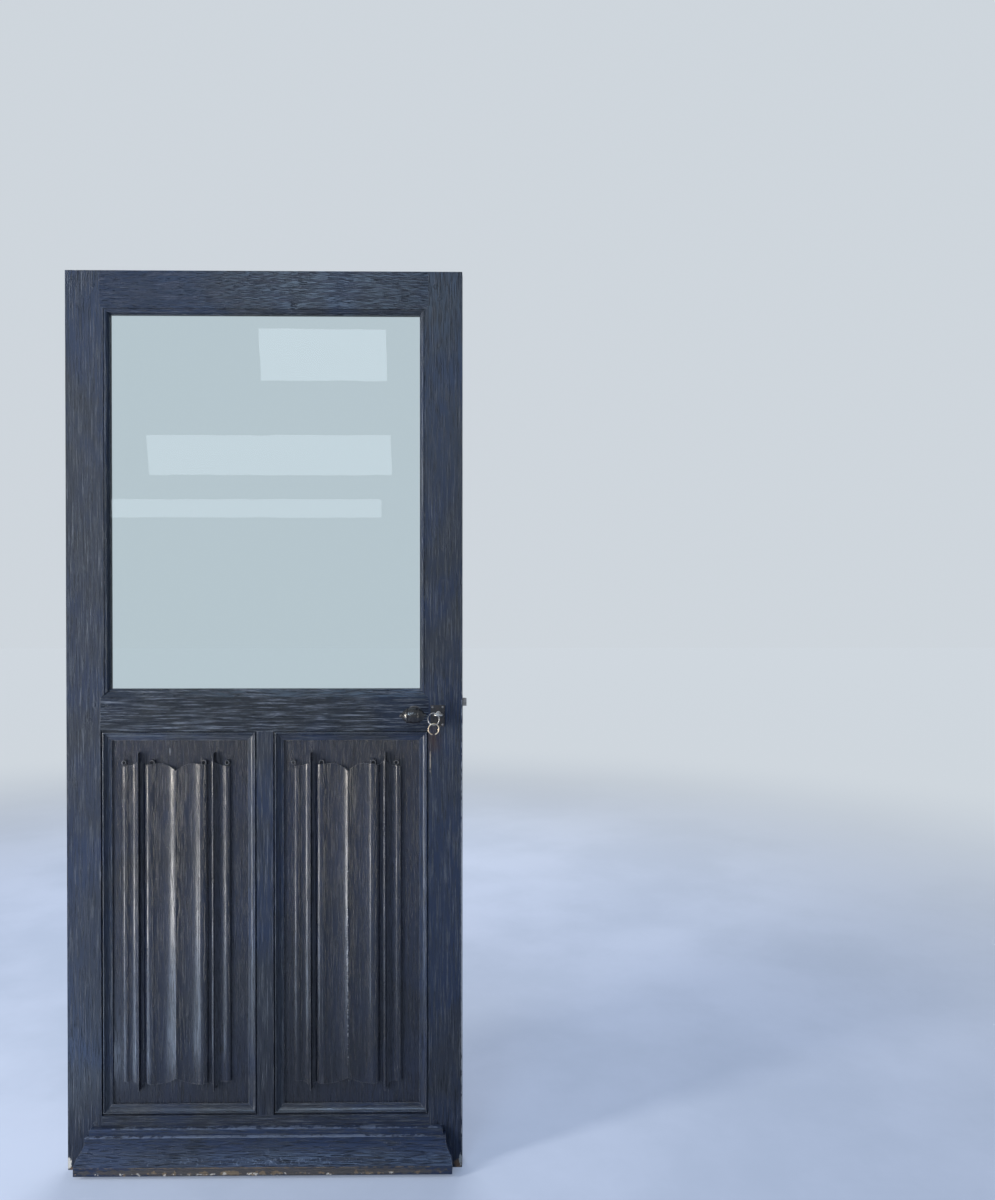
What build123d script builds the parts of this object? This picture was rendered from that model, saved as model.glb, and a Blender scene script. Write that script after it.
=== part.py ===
"""Half-glazed oak door leaf with two carved linenfold panels, a weatherboard and a rim lock.

Millimetres. The Z axis is the hinge pins' axis, and the origin is the mouth of the lower hinge knuckle.
X runs across the leaf from the hinges to the lock, and Y runs from the outside of the door to the inside.
A depth is measured from the leaf's outside face inwards, and a projection from the same face outwards.
"""

import os
from math import degrees, pi, radians, tan

from build123d import *

os.makedirs("parts", exist_ok=True)

# Leaf
leaf_width = 900
leaf_height = 2050
leaf_thickness = 44
stile_width = 77
top_rail_face = 77
lock_rail_face = 76
lock_rail_height = 1003
bottom_rail_face = 123
muntin_width = 38

# Sticking round the glass, with runs measured from the shoulder line towards the glass
sticking_width = 20
flat_width = 8.5
quirk_width = 1.6
quirk_depth = 2.6
ovolo_start_depth = 0.8
ovolo_end_depth = 9
ovolo_fullness = 0.7
lip_width = 1.8
rebate_depth = 12
splay_start = 2
splay_depth = 8

# Glass and its inner beads
glass_thickness = 4
glass_clearance = 2
bead_depth = 14
bead_round = 7

# Mortise and tenon joints
tenon_thickness = 14
tenon_length = 58
tenon_haunch = 18
bottom_tenon_haunch = 14
mortise_clearance = 1
stub_tenon_length = 25
peg_radius = 4.7
peg_clearance = 0.05
peg_proud = 0.9
peg_round = 0.7
upper_peg_inset = 15
lower_peg_inset = 25
rail_peg_margin = 16
bottom_peg_margin = 18.6

# Panels
groove_width = 10
groove_length = 12
tongue_clearance = 0.1
tongue_end_gap = 1
field_clearance = 0.3
ground_depth = 13
panel_back_depth = 32

# Linenfold section: places run from the fold's middle, heights from the panel's ground
fold_offset = -8
arris_height = 12
hollow_place = 27
hollow_height = 4.2
roll_start = 50
roll_start_height = 8
roll_top = 61
roll_top_height = 10.6
roll_edge = 72.5
roll_edge_height = 3
groove_floor_place = 77.5
groove_floor_height = 1.2
fin_foot = 82.6
fin_foot_height = 2.4
fin_place = 85.4
fin_width = 1.6
fin_height = 12.6
outer_hollow_place = 98.5
outer_hollow_height = 3.6
outer_roll_start = 109.5
outer_roll_start_height = 4.6
outer_roll_top = 117
outer_roll_top_height = 6.8
fold_half_width = 124.5

# Linenfold ends: rises beyond the level of the fold's head or foot
fold_head_margin = 78
fold_foot_margin = 72
fin_head_rise = 28
fin_foot_rise = 17
notch_depth = 13
shoulder_place = 45
shoulder_rise = 3
groove_end_rise = 8
outer_end_drop = 4
fin_tip_width = 2.4

# Planted mouldings round the panels, with runs measured from the edge of the opening
moulding_width = 22
moulding_quirk_width = 2.4
moulding_quirk_depth = 7
moulding_bead_radius = 2.3
moulding_bead_depth = 1.2
cove_sag = 0.9
cove_end = 18
cove_end_depth = 8.6
moulding_lip_depth = 9.6

# Weatherboard
weather_top = 99
weather_foot = 11
weather_top_projection = 13
weather_top_round = 4
weather_step_height = 84
weather_step_projection = 20
weather_waist_height = 62
weather_waist_projection = 23
weather_turn_height = 45
weather_turn_projection = 33
weather_nose_top = 31
weather_nose_projection = 45
weather_hinge_end_inset = 66
weather_lock_end_inset = 57
weather_end_projection = 36
drip_width = 8
drip_depth = 5
drip_setback = 14
weather_screw_count = 5
weather_screw_margin = 33
weather_screw_height = 50
weather_screw_length = 62

# Countersunk wood screws and their holes
screw_radius = 2.2
screw_head_radius = 4.4
screw_clearance = 0.05

# Lift-off hinges: the halves that stay on the leaf
hinge_gap = 3
knuckle_radius = 8
knuckle_height = 68
knuckle_clearance = 0.3
pin_radius = 5
pin_clearance = 0.05
bore_depth = 52
drill_point_half_angle = 59
finial_height = 6
finial_neck_radius = 3.5
finial_radius = 5.5
hinge_plate_thickness = 3
hinge_plate_width = 28
hinge_plate_overlap = 3
lower_hinge_height = 240
upper_hinge_drop = 230
hinge_names = ["lower_hinge", "middle_hinge", "upper_hinge"]
hinge_screw_count = 3
hinge_screw_pitch = 22
hinge_screw_length = 38

# Rim lock on the inside
handle_drop = 35
knob_edge_distance = 109
key_edge_distance = 54
case_length = 142
case_height = 72
case_depth = 22
case_wall = 2
case_corner = 3
post_radius = 4.6
post_merge = 0.8
post_inset = 8
post_spacing = 103
case_screw_depth = 14
bolt_clearance = 0.2
bolt_height = 18
bolt_thickness = 14
bolt_gap = 3
bolt_offset = 20
latch_projection = 9
latch_length = 24
latch_tail_height = 6
latch_tail_level = 20
deadbolt_length = 15.5
deadbolt_setback = 0.5
deadbolt_tail_height = 7.5
deadbolt_tail_level = -18.5
tail_thickness = 5
tail_gap = 7
hook_length = 6
hook_foot = 9.5
talon_width = 17
talon_setback = 16
talon_thickness = 4
talon_drop = 9.5
latch_bevel = 0.7
case_edge_round = 1.2

# Follower, spindle and knobs
hub_radius = 9
journal_radius = 8
journal_clearance = 0.05
hub_end_gap = 0.3
arm_length = 16
arm_width = 6
arm_gap = 0.6
spindle_side = 8
spindle_clearance = 0.05
spindle_hole_radius = 6.5
socket_depth = 22
rose_radius = 17
rose_thickness = 4
rose_spigot_radius = 12
rose_spigot_length = 8
rose_clearance = 0.1
neck_root_radius = 10
neck_waist_radius = 7.5
olive_half_length = 29.5
olive_radius = 18
olive_button_radius = 5
olive_button_length = 3
olive_band_place = 13
olive_band_width = 3.2
olive_reach = 38
olive_button_round = 1.5
neck_waist_place = 11
socket_end_gap = 0.5
spindle_chamfer = 0.6
knob_pin_place = 10
rose_bulge_radius = 7
knob_pin_radius = 1.25

# Keyhole plate, key and its rings
plate_width = 32
plate_height = 49
plate_thickness = 1.6
plate_shift = -2
plate_drop = 6
plate_screw_inset = 4.5
plate_screw_radius = 1.2
plate_screw_head_radius = 2.4
plate_screw_head_height = 1.3
plate_screw_head_round = 1.1
plate_screw_length = 14
plate_corner = 2
plate_bevel = 0.4
key_radius = 3.5
key_clearance = 0.25
wood_keyhole_radius = 4.5
key_slot_width = 3.8
key_slot_length = 14.5
bit_length = 13
bit_thickness = 3
bit_width = 11
bit_gap = 4.5
bow_rim_overlap = 1
collar_round = 1
key_tip_gap = 1
collar_radius = 5.5
collar_length = 3
collar_projection = 5
bow_radius = 9.7
bow_rim_radius = 2.2
bow_projection = 18
steel_ring_radius = 13.4
steel_ring_wire = 1.3
steel_ring_turn = -14
brass_ring_radius = 12.3
brass_ring_wire = 1.15
brass_ring_turn = 18
brass_ring_gap = 30
ring_slack = 0.25
link_slack = 0.4

# Places of the leaf
leaf_left = hinge_gap / 2
leaf_right = leaf_left + leaf_width
leaf_foot = -lower_hinge_height
leaf_head = leaf_foot + leaf_height
inside_face = -(knuckle_radius + knuckle_clearance)
outside_face = inside_face - leaf_thickness
left_shoulder = leaf_left + stile_width
right_shoulder = leaf_right - stile_width
middle = (leaf_left + leaf_right) / 2
top_rail_shoulder = leaf_head - top_rail_face
lock_rail_foot = leaf_foot + lock_rail_height
lock_rail_shoulder = lock_rail_foot + lock_rail_face
bottom_rail_head = leaf_foot + bottom_rail_face
rail_length = right_shoulder - left_shoulder
glazed_height = top_rail_shoulder - lock_rail_shoulder
glazed_centre = (top_rail_shoulder + lock_rail_shoulder) / 2
panel_height = lock_rail_foot - bottom_rail_head
panel_centre = (lock_rail_foot + bottom_rail_head) / 2
panel_width = (rail_length - muntin_width) / 2
panel_middles = {
    "hinge_side": left_shoulder + panel_width / 2,
    "lock_side": right_shoulder - panel_width / 2,
}
side_turns = {"foot": 0, "lock_edge": 90, "head": 180, "hinge_edge": 270}


def depth(value):
    """Y place of a depth behind the leaf's outside face."""
    return outside_face + value


def front_plane(value=0):
    """Upright plane at a depth: its own axes are X and Z, and its normal points outwards."""
    return Plane.XZ.offset(-depth(value))


def finish(part, name):
    """Label a finished piece and write it."""
    part.label = name
    export_step(part, f"parts/{name}.step")


def side_planes(centre, width, height, turn):
    """One side of an upright rectangle: its section plane, its face plane and its length.

    Turn 0 is the foot. The section plane's own axes run towards the middle and outwards from the leaf.
    """
    along = Vector(1, 0, 0).rotate(Axis.Y, -turn)
    inward = Vector(0, 0, 1).rotate(Axis.Y, -turn)
    length, span = (width, height) if turn % 180 == 0 else (height, width)
    corner = Vector(centre[0], outside_face, centre[1]) - along * (length / 2) - inward * (span / 2)
    section = Plane(origin=corner, x_dir=inward, z_dir=along)
    face = Plane(origin=corner, x_dir=along, z_dir=(0, -1, 0))
    return section, face, length


def mitre_ends(face, length, width):
    """Cut the ends of a strip that lies along a side to 45 degrees."""
    with BuildSketch(face) as outline:
        with BuildLine():
            Polyline((0, 0), (length, 0), (length - width, width), (width, width), close=True)
        make_face()
    extrude(outline.sketch, amount=-leaf_thickness, mode=Mode.INTERSECT)


# Sticking: the moulded inner edges of stiles and top rail, and the splayed head of the lock rail
sticking = {}
for side, turn in side_turns.items():
    section_plane, face_plane, side_length = side_planes(
        (middle, glazed_centre), rail_length, glazed_height, turn
    )
    ovolo_start = (flat_width + quirk_width, -ovolo_start_depth)
    ovolo_end = (sticking_width - lip_width, -ovolo_end_depth)
    ovolo_middle = (
        ovolo_start[0] + (ovolo_end[0] - ovolo_start[0]) * ovolo_fullness,
        ovolo_start[1] + (ovolo_end[1] - ovolo_start[1]) * (1 - ovolo_fullness),
    )
    with BuildPart() as strip:
        with BuildSketch(section_plane):
            with BuildLine():
                if side == "foot":
                    Polyline((0, 0), (splay_start, 0), (sticking_width, -splay_depth))
                    Line((sticking_width, -splay_depth), (sticking_width, -rebate_depth))
                else:
                    Polyline((0, 0), (flat_width, 0), (flat_width, -quirk_depth))
                    Line((flat_width, -quirk_depth), (flat_width + quirk_width, -quirk_depth))
                    Line((flat_width + quirk_width, -quirk_depth), ovolo_start)
                    ThreePointArc(ovolo_start, ovolo_middle, ovolo_end)
                    Polyline(ovolo_end, (sticking_width, -ovolo_end_depth), (sticking_width, -rebate_depth))
                Polyline(
                    (sticking_width, -rebate_depth),
                    (flat_width, -rebate_depth),
                    (flat_width, -leaf_thickness),
                    (0, -leaf_thickness),
                    (0, 0),
                )
            make_face()
        extrude(amount=side_length)
        mitre_ends(face_plane, side_length, sticking_width)
    sticking[side] = strip.part

# Joints: foot and head of each rail's tenons, and places of the pegs through them
stub_tenon_width = muntin_width - 2 * groove_length
tenon_levels = {
    "top": (top_rail_shoulder, leaf_head - tenon_haunch),
    "lock": (lock_rail_foot + tenon_haunch, lock_rail_shoulder),
    "bottom": (leaf_foot + tenon_haunch, bottom_rail_head - bottom_tenon_haunch),
}
hinge_side_pegs = [
    (left_shoulder - upper_peg_inset, leaf_head - tenon_haunch - rail_peg_margin),
    (left_shoulder - lower_peg_inset, top_rail_shoulder + rail_peg_margin),
    (left_shoulder - upper_peg_inset, lock_rail_shoulder - rail_peg_margin),
    (left_shoulder - lower_peg_inset, lock_rail_foot + tenon_haunch + rail_peg_margin / 2),
    (left_shoulder - upper_peg_inset, bottom_rail_head - bottom_peg_margin),
]
lock_side_pegs = [
    (right_shoulder + upper_peg_inset, leaf_head - tenon_haunch - rail_peg_margin),
    (right_shoulder + lower_peg_inset, top_rail_shoulder + rail_peg_margin),
    (right_shoulder + upper_peg_inset, bottom_rail_head - bottom_peg_margin),
]


def drill_pegs():
    """Drill every peg hole through the current part."""
    with BuildSketch(front_plane()) as holes:
        with Locations(*hinge_side_pegs, *lock_side_pegs):
            Circle(peg_radius + peg_clearance)
    extrude(holes.sketch, amount=-leaf_thickness, mode=Mode.SUBTRACT)


def add_tenons(name):
    """Add the tenons at both ends of a rail to the current part."""
    foot, head = tenon_levels[name]
    for shoulder, outward in [(left_shoulder, -1), (right_shoulder, 1)]:
        with Locations((shoulder + outward * tenon_length / 2, depth(leaf_thickness / 2), (foot + head) / 2)):
            Box(tenon_length, tenon_thickness, head - foot)


# Places of screws, shared by the screws and their holes
case_left = leaf_right - case_length
handle_level = lock_rail_shoulder - handle_drop
knob_x = leaf_right - knob_edge_distance
key_x = leaf_right - key_edge_distance
post_left = case_left + post_inset
post_level = case_height / 2 - case_wall - post_radius + post_merge
post_places = [
    (post_left + across * post_spacing, handle_level + up * post_level) for across in (0, 1) for up in (-1, 1)
]
case_screw_places = [(x, inside_face + case_depth, z) for x, z in post_places]
hinge_spacing = (leaf_height - lower_hinge_height - upper_hinge_drop) / (len(hinge_names) - 1)
hinge_levels = [number * hinge_spacing for number in range(len(hinge_names))]
hinge_plate_middle = inside_face - hinge_plate_width / 2
hinge_screw_rows = [
    knuckle_height / 2 + (number - (hinge_screw_count - 1) / 2) * hinge_screw_pitch
    for number in range(hinge_screw_count)
]
hinge_screw_places = [
    (leaf_left, hinge_plate_middle, level + row) for level in hinge_levels for row in hinge_screw_rows
]
weather_screw_pitch = (rail_length - 2 * weather_screw_margin) / (weather_screw_count - 1)
weather_screw_places = [
    (
        left_shoulder + weather_screw_margin + number * weather_screw_pitch,
        inside_face,
        leaf_foot + weather_screw_height,
    )
    for number in range(weather_screw_count)
]
plate_middle = (key_x + plate_shift, handle_level - plate_drop)
plate_screw_points = [
    (
        plate_middle[0] + across * (plate_width / 2 - plate_screw_inset),
        plate_middle[1] + up * (plate_height / 2 - plate_screw_inset),
    )
    for across in (-1, 1)
    for up in (-1, 1)
]
heads_inside = (-90, 0, 0)
heads_at_hinges = (0, -90, 0)
from_head = (Align.CENTER, Align.CENTER, Align.MAX)


def screws(places, rotation, length, clearance=0, mode=Mode.ADD):
    """Countersunk screws whose heads are flush at the places, or their holes."""
    head_height = screw_head_radius - screw_radius
    with Locations(*places):
        Cylinder(screw_radius + clearance, length, rotation=rotation, align=from_head, mode=mode)
        Cone(
            screw_radius + clearance,
            screw_head_radius + clearance,
            head_height,
            rotation=rotation,
            align=from_head,
            mode=mode,
        )


# Stiles
for name, shoulder, inward in [("hinge_stile", left_shoulder, 1), ("lock_stile", right_shoulder, -1)]:
    with BuildPart() as stile:
        with BuildSketch(Plane.XY.offset(leaf_foot)):
            with Locations((shoulder - inward * stile_width / 2, depth(leaf_thickness / 2))):
                Rectangle(stile_width, leaf_thickness)
        extrude(amount=leaf_height)
        add(sticking["hinge_edge" if inward == 1 else "lock_edge"])
        mortise_length = tenon_length + mortise_clearance
        for foot, head in tenon_levels.values():
            mortise_middle = shoulder - inward * mortise_length / 2
            with Locations((mortise_middle, depth(leaf_thickness / 2), (foot + head) / 2)):
                Box(mortise_length, tenon_thickness, head - foot, mode=Mode.SUBTRACT)
        with Locations((shoulder - inward * groove_length / 2, depth(leaf_thickness / 2), panel_centre)):
            Box(groove_length, groove_width, panel_height + 2 * groove_length, mode=Mode.SUBTRACT)
        drill_pegs()
        if name == "hinge_stile":
            for level in hinge_levels:
                with Locations((leaf_left, hinge_plate_middle, level + knuckle_height / 2)):
                    Box(2 * hinge_plate_thickness, hinge_plate_width, knuckle_height, mode=Mode.SUBTRACT)
            screws(hinge_screw_places, heads_at_hinges, hinge_screw_length, screw_clearance, Mode.SUBTRACT)
        else:
            case_hole_length = case_depth + case_screw_depth
            screws(case_screw_places, heads_inside, case_hole_length, screw_clearance, Mode.SUBTRACT)
            with BuildSketch(front_plane()):
                with Locations((key_x, handle_level)):
                    Circle(wood_keyhole_radius)
                    with Locations((0, -key_slot_length / 2)):
                        Rectangle(key_slot_width, key_slot_length)
            extrude(amount=-leaf_thickness, mode=Mode.SUBTRACT)
            with BuildSketch(front_plane()):
                with Locations(*plate_screw_points):
                    Circle(plate_screw_radius + screw_clearance)
            extrude(amount=-plate_screw_length, mode=Mode.SUBTRACT)
    finish(stile.part, name)

# Rails
with BuildPart() as top_rail:
    with BuildSketch(Plane.YZ.offset(left_shoulder)):
        with Locations((depth(leaf_thickness / 2), leaf_head - top_rail_face / 2)):
            Rectangle(leaf_thickness, top_rail_face)
    extrude(amount=rail_length)
    add(sticking["head"])
    add_tenons("top")
    drill_pegs()
finish(top_rail.part, "top_rail")

with BuildPart() as lock_rail:
    with BuildSketch(Plane.YZ.offset(left_shoulder)):
        with Locations((depth(leaf_thickness / 2), lock_rail_foot + lock_rail_face / 2)):
            Rectangle(leaf_thickness, lock_rail_face)
        with Locations((depth(leaf_thickness / 2), lock_rail_foot + groove_length / 2)):
            Rectangle(groove_width, groove_length, mode=Mode.SUBTRACT)
    extrude(amount=rail_length)
    add(sticking["foot"])
    add_tenons("lock")
    drill_pegs()
    screws(hinge_screw_places, heads_at_hinges, hinge_screw_length, screw_clearance, Mode.SUBTRACT)
    with Locations((middle, depth(leaf_thickness / 2), lock_rail_foot)):
        Box(stub_tenon_width, groove_width, 2 * (stub_tenon_length + mortise_clearance), mode=Mode.SUBTRACT)
    screws(case_screw_places, heads_inside, case_depth + case_screw_depth, screw_clearance, Mode.SUBTRACT)
    with BuildSketch(front_plane()):
        with Locations((knob_x, handle_level)):
            Circle(spindle_hole_radius)
        with Locations((key_x, handle_level)):
            Circle(wood_keyhole_radius)
            with Locations((0, -key_slot_length / 2)):
                Rectangle(key_slot_width, key_slot_length)
    extrude(amount=-leaf_thickness, mode=Mode.SUBTRACT)
    with BuildSketch(front_plane()):
        with Locations((knob_x, handle_level)):
            Circle(rose_spigot_radius)
    extrude(amount=-rose_spigot_length, mode=Mode.SUBTRACT)
finish(lock_rail.part, "lock_rail")

with BuildPart() as bottom_rail:
    with BuildSketch(Plane.YZ.offset(left_shoulder)):
        with Locations((depth(leaf_thickness / 2), leaf_foot + bottom_rail_face / 2)):
            Rectangle(leaf_thickness, bottom_rail_face)
        with Locations((depth(leaf_thickness / 2), bottom_rail_head - groove_length / 2)):
            Rectangle(groove_width, groove_length, mode=Mode.SUBTRACT)
    extrude(amount=rail_length)
    add_tenons("bottom")
    drill_pegs()
    with Locations((middle, depth(leaf_thickness / 2), bottom_rail_head)):
        Box(stub_tenon_width, groove_width, 2 * (stub_tenon_length + mortise_clearance), mode=Mode.SUBTRACT)
    screws(weather_screw_places, heads_inside, weather_screw_length, screw_clearance, Mode.SUBTRACT)
finish(bottom_rail.part, "bottom_rail")

# Muntin between the panels, with a stub tenon at each end
with BuildPart() as muntin:
    with BuildSketch(Plane.XY.offset(bottom_rail_head)):
        with Locations((middle, depth(leaf_thickness / 2))):
            Rectangle(muntin_width, leaf_thickness)
            for outward in (-1, 1):
                with Locations((outward * (muntin_width - groove_length) / 2, 0)):
                    Rectangle(groove_length, groove_width, mode=Mode.SUBTRACT)
    extrude(amount=panel_height)
    with Locations((middle, depth(leaf_thickness / 2), panel_centre)):
        Box(stub_tenon_width, groove_width, panel_height + 2 * stub_tenon_length)
finish(muntin.part, "muntin")

# Pegs, slightly domed and proud of the outside face
with BuildPart() as pegs:
    with BuildSketch(front_plane()):
        with Locations(*hinge_side_pegs, *lock_side_pegs):
            Circle(peg_radius)
    extrude(amount=peg_proud)
    extrude(pegs.faces().group_by(Axis.Y)[-1], amount=leaf_thickness)
    fillet(pegs.edges().group_by(Axis.Y)[0], radius=peg_round)
finish(pegs.part, "frame_pegs")


def fold_section():
    """Draw half of the linenfold section, from its outer edge to the middle arris, and mirror it."""
    fin_outer = (fin_place + fin_width / 2, fin_height)
    fin_inner = (fin_place - fin_width / 2, fin_height)
    with BuildLine() as lines:
        Line((0, -groove_floor_height), (fold_half_width, -groove_floor_height))
        Line((fold_half_width, -groove_floor_height), (fold_half_width, 0))
        ThreePointArc(
            (fold_half_width, 0),
            (outer_roll_top, outer_roll_top_height),
            (outer_roll_start, outer_roll_start_height),
        )
        ThreePointArc(
            (outer_roll_start, outer_roll_start_height),
            (outer_hollow_place, outer_hollow_height),
            fin_outer,
        )
        Polyline(fin_outer, fin_inner, (fin_foot, fin_foot_height))
        ThreePointArc(
            (fin_foot, fin_foot_height),
            (groove_floor_place, groove_floor_height),
            (roll_edge, roll_edge_height),
        )
        ThreePointArc(
            (roll_edge, roll_edge_height),
            (roll_top, roll_top_height),
            (roll_start, roll_start_height),
        )
        ThreePointArc((roll_start, roll_start_height), (hollow_place, hollow_height), (0, arris_height))
        Line((0, arris_height), (0, -groove_floor_height))
    make_face(lines.edges())
    mirror(about=Plane.YZ)


def fold_outline(length):
    """Draw half of the fold's front outline with its carved ends, and mirror it."""
    with BuildLine() as lines:
        for level, way, rise in [(0, -1, fin_foot_rise), (length, 1, fin_head_rise)]:
            ThreePointArc(
                (0, level - way * notch_depth),
                (shoulder_place / 2, level),
                (shoulder_place, level + way * shoulder_rise),
            )
            ThreePointArc(
                (shoulder_place, level + way * shoulder_rise),
                (roll_top, level + way * shoulder_rise / 2),
                (roll_edge, level),
            )
            Polyline(
                (roll_edge, level),
                (fin_foot, level + way * groove_end_rise),
                (fin_place - fin_tip_width / 2, level + way * rise),
                (fin_place + fin_tip_width / 2, level + way * rise),
                (fin_place + fin_tip_width, level + way * groove_end_rise),
            )
            ThreePointArc(
                (fin_place + fin_tip_width, level + way * groove_end_rise),
                (outer_hollow_place, level),
                (outer_roll_start, level - way * outer_end_drop / 2),
            )
            Line(
                (outer_roll_start, level - way * outer_end_drop / 2),
                (fold_half_width, level - way * outer_end_drop),
            )
        Line((fold_half_width, outer_end_drop), (fold_half_width, length - outer_end_drop))
        Line((0, notch_depth), (0, length - notch_depth))
    make_face(lines.edges())
    mirror(about=Plane.YZ)


# Panels: a tongued board whose linenfold is carved in the solid
fold_foot = bottom_rail_head + fold_foot_margin
fold_length = lock_rail_foot - fold_head_margin - fold_foot
fold_reach = fold_length + fin_head_rise + fin_foot_rise
tongue_length = groove_length - tongue_end_gap
for side, panel_middle in panel_middles.items():
    fold_middle = panel_middle + fold_offset
    with BuildPart() as fold:
        fold_base = (fold_middle, depth(ground_depth), fold_foot - fin_foot_rise)
        with BuildSketch(Plane(origin=fold_base, x_dir=(1, 0, 0), z_dir=(0, 0, -1))):
            fold_section()
        extrude(amount=-fold_reach)
        outline_base = (fold_middle, outside_face, fold_foot)
        with BuildSketch(Plane(origin=outline_base, x_dir=(1, 0, 0), z_dir=(0, -1, 0))):
            fold_outline(fold_length)
        extrude(amount=-panel_back_depth, mode=Mode.INTERSECT)
    with BuildPart() as panel:
        with Locations((panel_middle, depth((ground_depth + panel_back_depth) / 2), panel_centre)):
            Box(
                panel_width - 2 * field_clearance,
                panel_back_depth - ground_depth,
                panel_height - 2 * field_clearance,
            )
        with Locations((panel_middle, depth(leaf_thickness / 2), panel_centre)):
            Box(
                panel_width + 2 * tongue_length,
                groove_width - 2 * tongue_clearance,
                panel_height + 2 * tongue_length,
            )
        add(fold.part)
    finish(panel.part, f"{side}_panel")

# Planted mouldings, four mitred strips round each panel
moulding_bead_side = -moulding_bead_depth - moulding_bead_radius
moulding_tops = {
    "shelf": (0, -moulding_quirk_depth),
    "bead_foot": (moulding_quirk_width, moulding_bead_side),
    "bead_top": (moulding_quirk_width + moulding_bead_radius, -moulding_bead_depth),
    "bead_end": (moulding_quirk_width + 2 * moulding_bead_radius, moulding_bead_side),
    "cove_end": (cove_end, -cove_end_depth),
}
for side, panel_middle in panel_middles.items():
    for edge, turn in side_turns.items():
        section_plane, face_plane, side_length = side_planes(
            (panel_middle, panel_centre), panel_width, panel_height, turn
        )
        bead_end = moulding_tops["bead_end"]
        cove_middle = (
            (bead_end[0] + cove_end) / 2 - cove_sag,
            (bead_end[1] - cove_end_depth) / 2 - cove_sag,
        )
        with BuildPart() as moulding:
            with BuildSketch(section_plane):
                with BuildLine():
                    Polyline(
                        (0, -ground_depth),
                        moulding_tops["shelf"],
                        (moulding_quirk_width, -moulding_quirk_depth),
                        moulding_tops["bead_foot"],
                    )
                    ThreePointArc(moulding_tops["bead_foot"], moulding_tops["bead_top"], bead_end)
                    ThreePointArc(bead_end, cove_middle, moulding_tops["cove_end"])
                    Polyline(
                        moulding_tops["cove_end"],
                        (moulding_width, -moulding_lip_depth),
                        (moulding_width, -ground_depth),
                        (0, -ground_depth),
                    )
                make_face()
            extrude(amount=side_length)
            mitre_ends(face_plane, side_length, moulding_width)
        finish(moulding.part, f"{side}_moulding_{edge}")

# Glass in its rebate, and the beads that hold it from the inside
with BuildPart() as glass:
    with BuildSketch(front_plane(rebate_depth)):
        with Locations((middle, glazed_centre)):
            glass_margin = 2 * (flat_width + glass_clearance)
            Rectangle(rail_length - glass_margin, glazed_height - glass_margin)
    extrude(amount=-glass_thickness)
finish(glass.part, "glass_pane")

bead_front = rebate_depth + glass_thickness
for edge, turn in side_turns.items():
    section_plane, face_plane, side_length = side_planes(
        (middle, glazed_centre), rail_length - 2 * flat_width, glazed_height - 2 * flat_width, turn
    )
    bead_width = sticking_width - flat_width
    bead_back = -bead_front - bead_depth
    with BuildPart() as bead:
        with BuildSketch(section_plane):
            with BuildLine():
                Polyline(
                    (bead_width - bead_round, bead_back),
                    (0, bead_back),
                    (0, -bead_front),
                    (bead_width, -bead_front),
                    (bead_width, bead_back + bead_round),
                )
                RadiusArc(
                    (bead_width, bead_back + bead_round), (bead_width - bead_round, bead_back), -bead_round
                )
            make_face()
        extrude(amount=side_length)
        mitre_ends(face_plane, side_length, bead_width)
    finish(bead.part, f"glazing_bead_{edge}")


def weather_section(nose_projection, place):
    """Draw the weatherboard's section, where place turns (projection, height) into sketch coordinates."""
    top_turn = weather_top_projection - weather_top_round
    diagonal = weather_top_round * 0.5 ** 0.5
    with BuildLine() as lines:
        Polyline(place(0, weather_foot), place(0, weather_top), place(top_turn, weather_top))
        ThreePointArc(
            place(top_turn, weather_top),
            place(top_turn + diagonal, weather_top - weather_top_round + diagonal),
            place(weather_top_projection, weather_top - weather_top_round),
        )
        Polyline(
            place(weather_top_projection, weather_top - weather_top_round),
            place(weather_top_projection, weather_step_height),
            place(weather_step_projection, weather_step_height),
        )
        ThreePointArc(
            place(weather_step_projection, weather_step_height),
            place(weather_waist_projection, weather_waist_height),
            place(weather_turn_projection, weather_turn_height),
        )
        Polyline(
            place(weather_turn_projection, weather_turn_height),
            place(nose_projection, weather_nose_top),
            place(nose_projection, weather_foot),
            place(0, weather_foot),
        )
    make_face(lines.edges())


# Weatherboard with returned ends and a drip groove
end_left = leaf_left + weather_hinge_end_inset
end_right = leaf_right - weather_lock_end_inset
end_middle = (end_left + end_right) / 2
with BuildPart() as weatherboard:
    with BuildSketch(Plane.YZ.offset(leaf_left)):
        weather_section(weather_nose_projection, lambda out, height: (outside_face - out, leaf_foot + height))
    extrude(amount=leaf_width)
    with BuildSketch(front_plane()):
        weather_section(weather_end_projection, lambda out, height: (end_left - out, leaf_foot + height))
        weather_section(weather_end_projection, lambda out, height: (end_right + out, leaf_foot + height))
        with Locations((end_middle, leaf_foot + (weather_top + weather_foot) / 2)):
            Rectangle(end_right - end_left, weather_top - weather_foot)
    extrude(amount=weather_nose_projection, mode=Mode.INTERSECT)
    drip_middle = outside_face - weather_nose_projection + drip_setback
    with Locations((end_middle, drip_middle, leaf_foot + weather_foot)):
        Box(end_right - end_left + 2 * drip_setback, drip_width, 2 * drip_depth, mode=Mode.SUBTRACT)
    screws(weather_screw_places, heads_inside, weather_screw_length, screw_clearance, Mode.SUBTRACT)
finish(weatherboard.part, "weatherboard")

with BuildPart() as weather_screws:
    screws(weather_screw_places, heads_inside, weather_screw_length)
finish(weather_screws.part, "weatherboard_screws")

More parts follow.
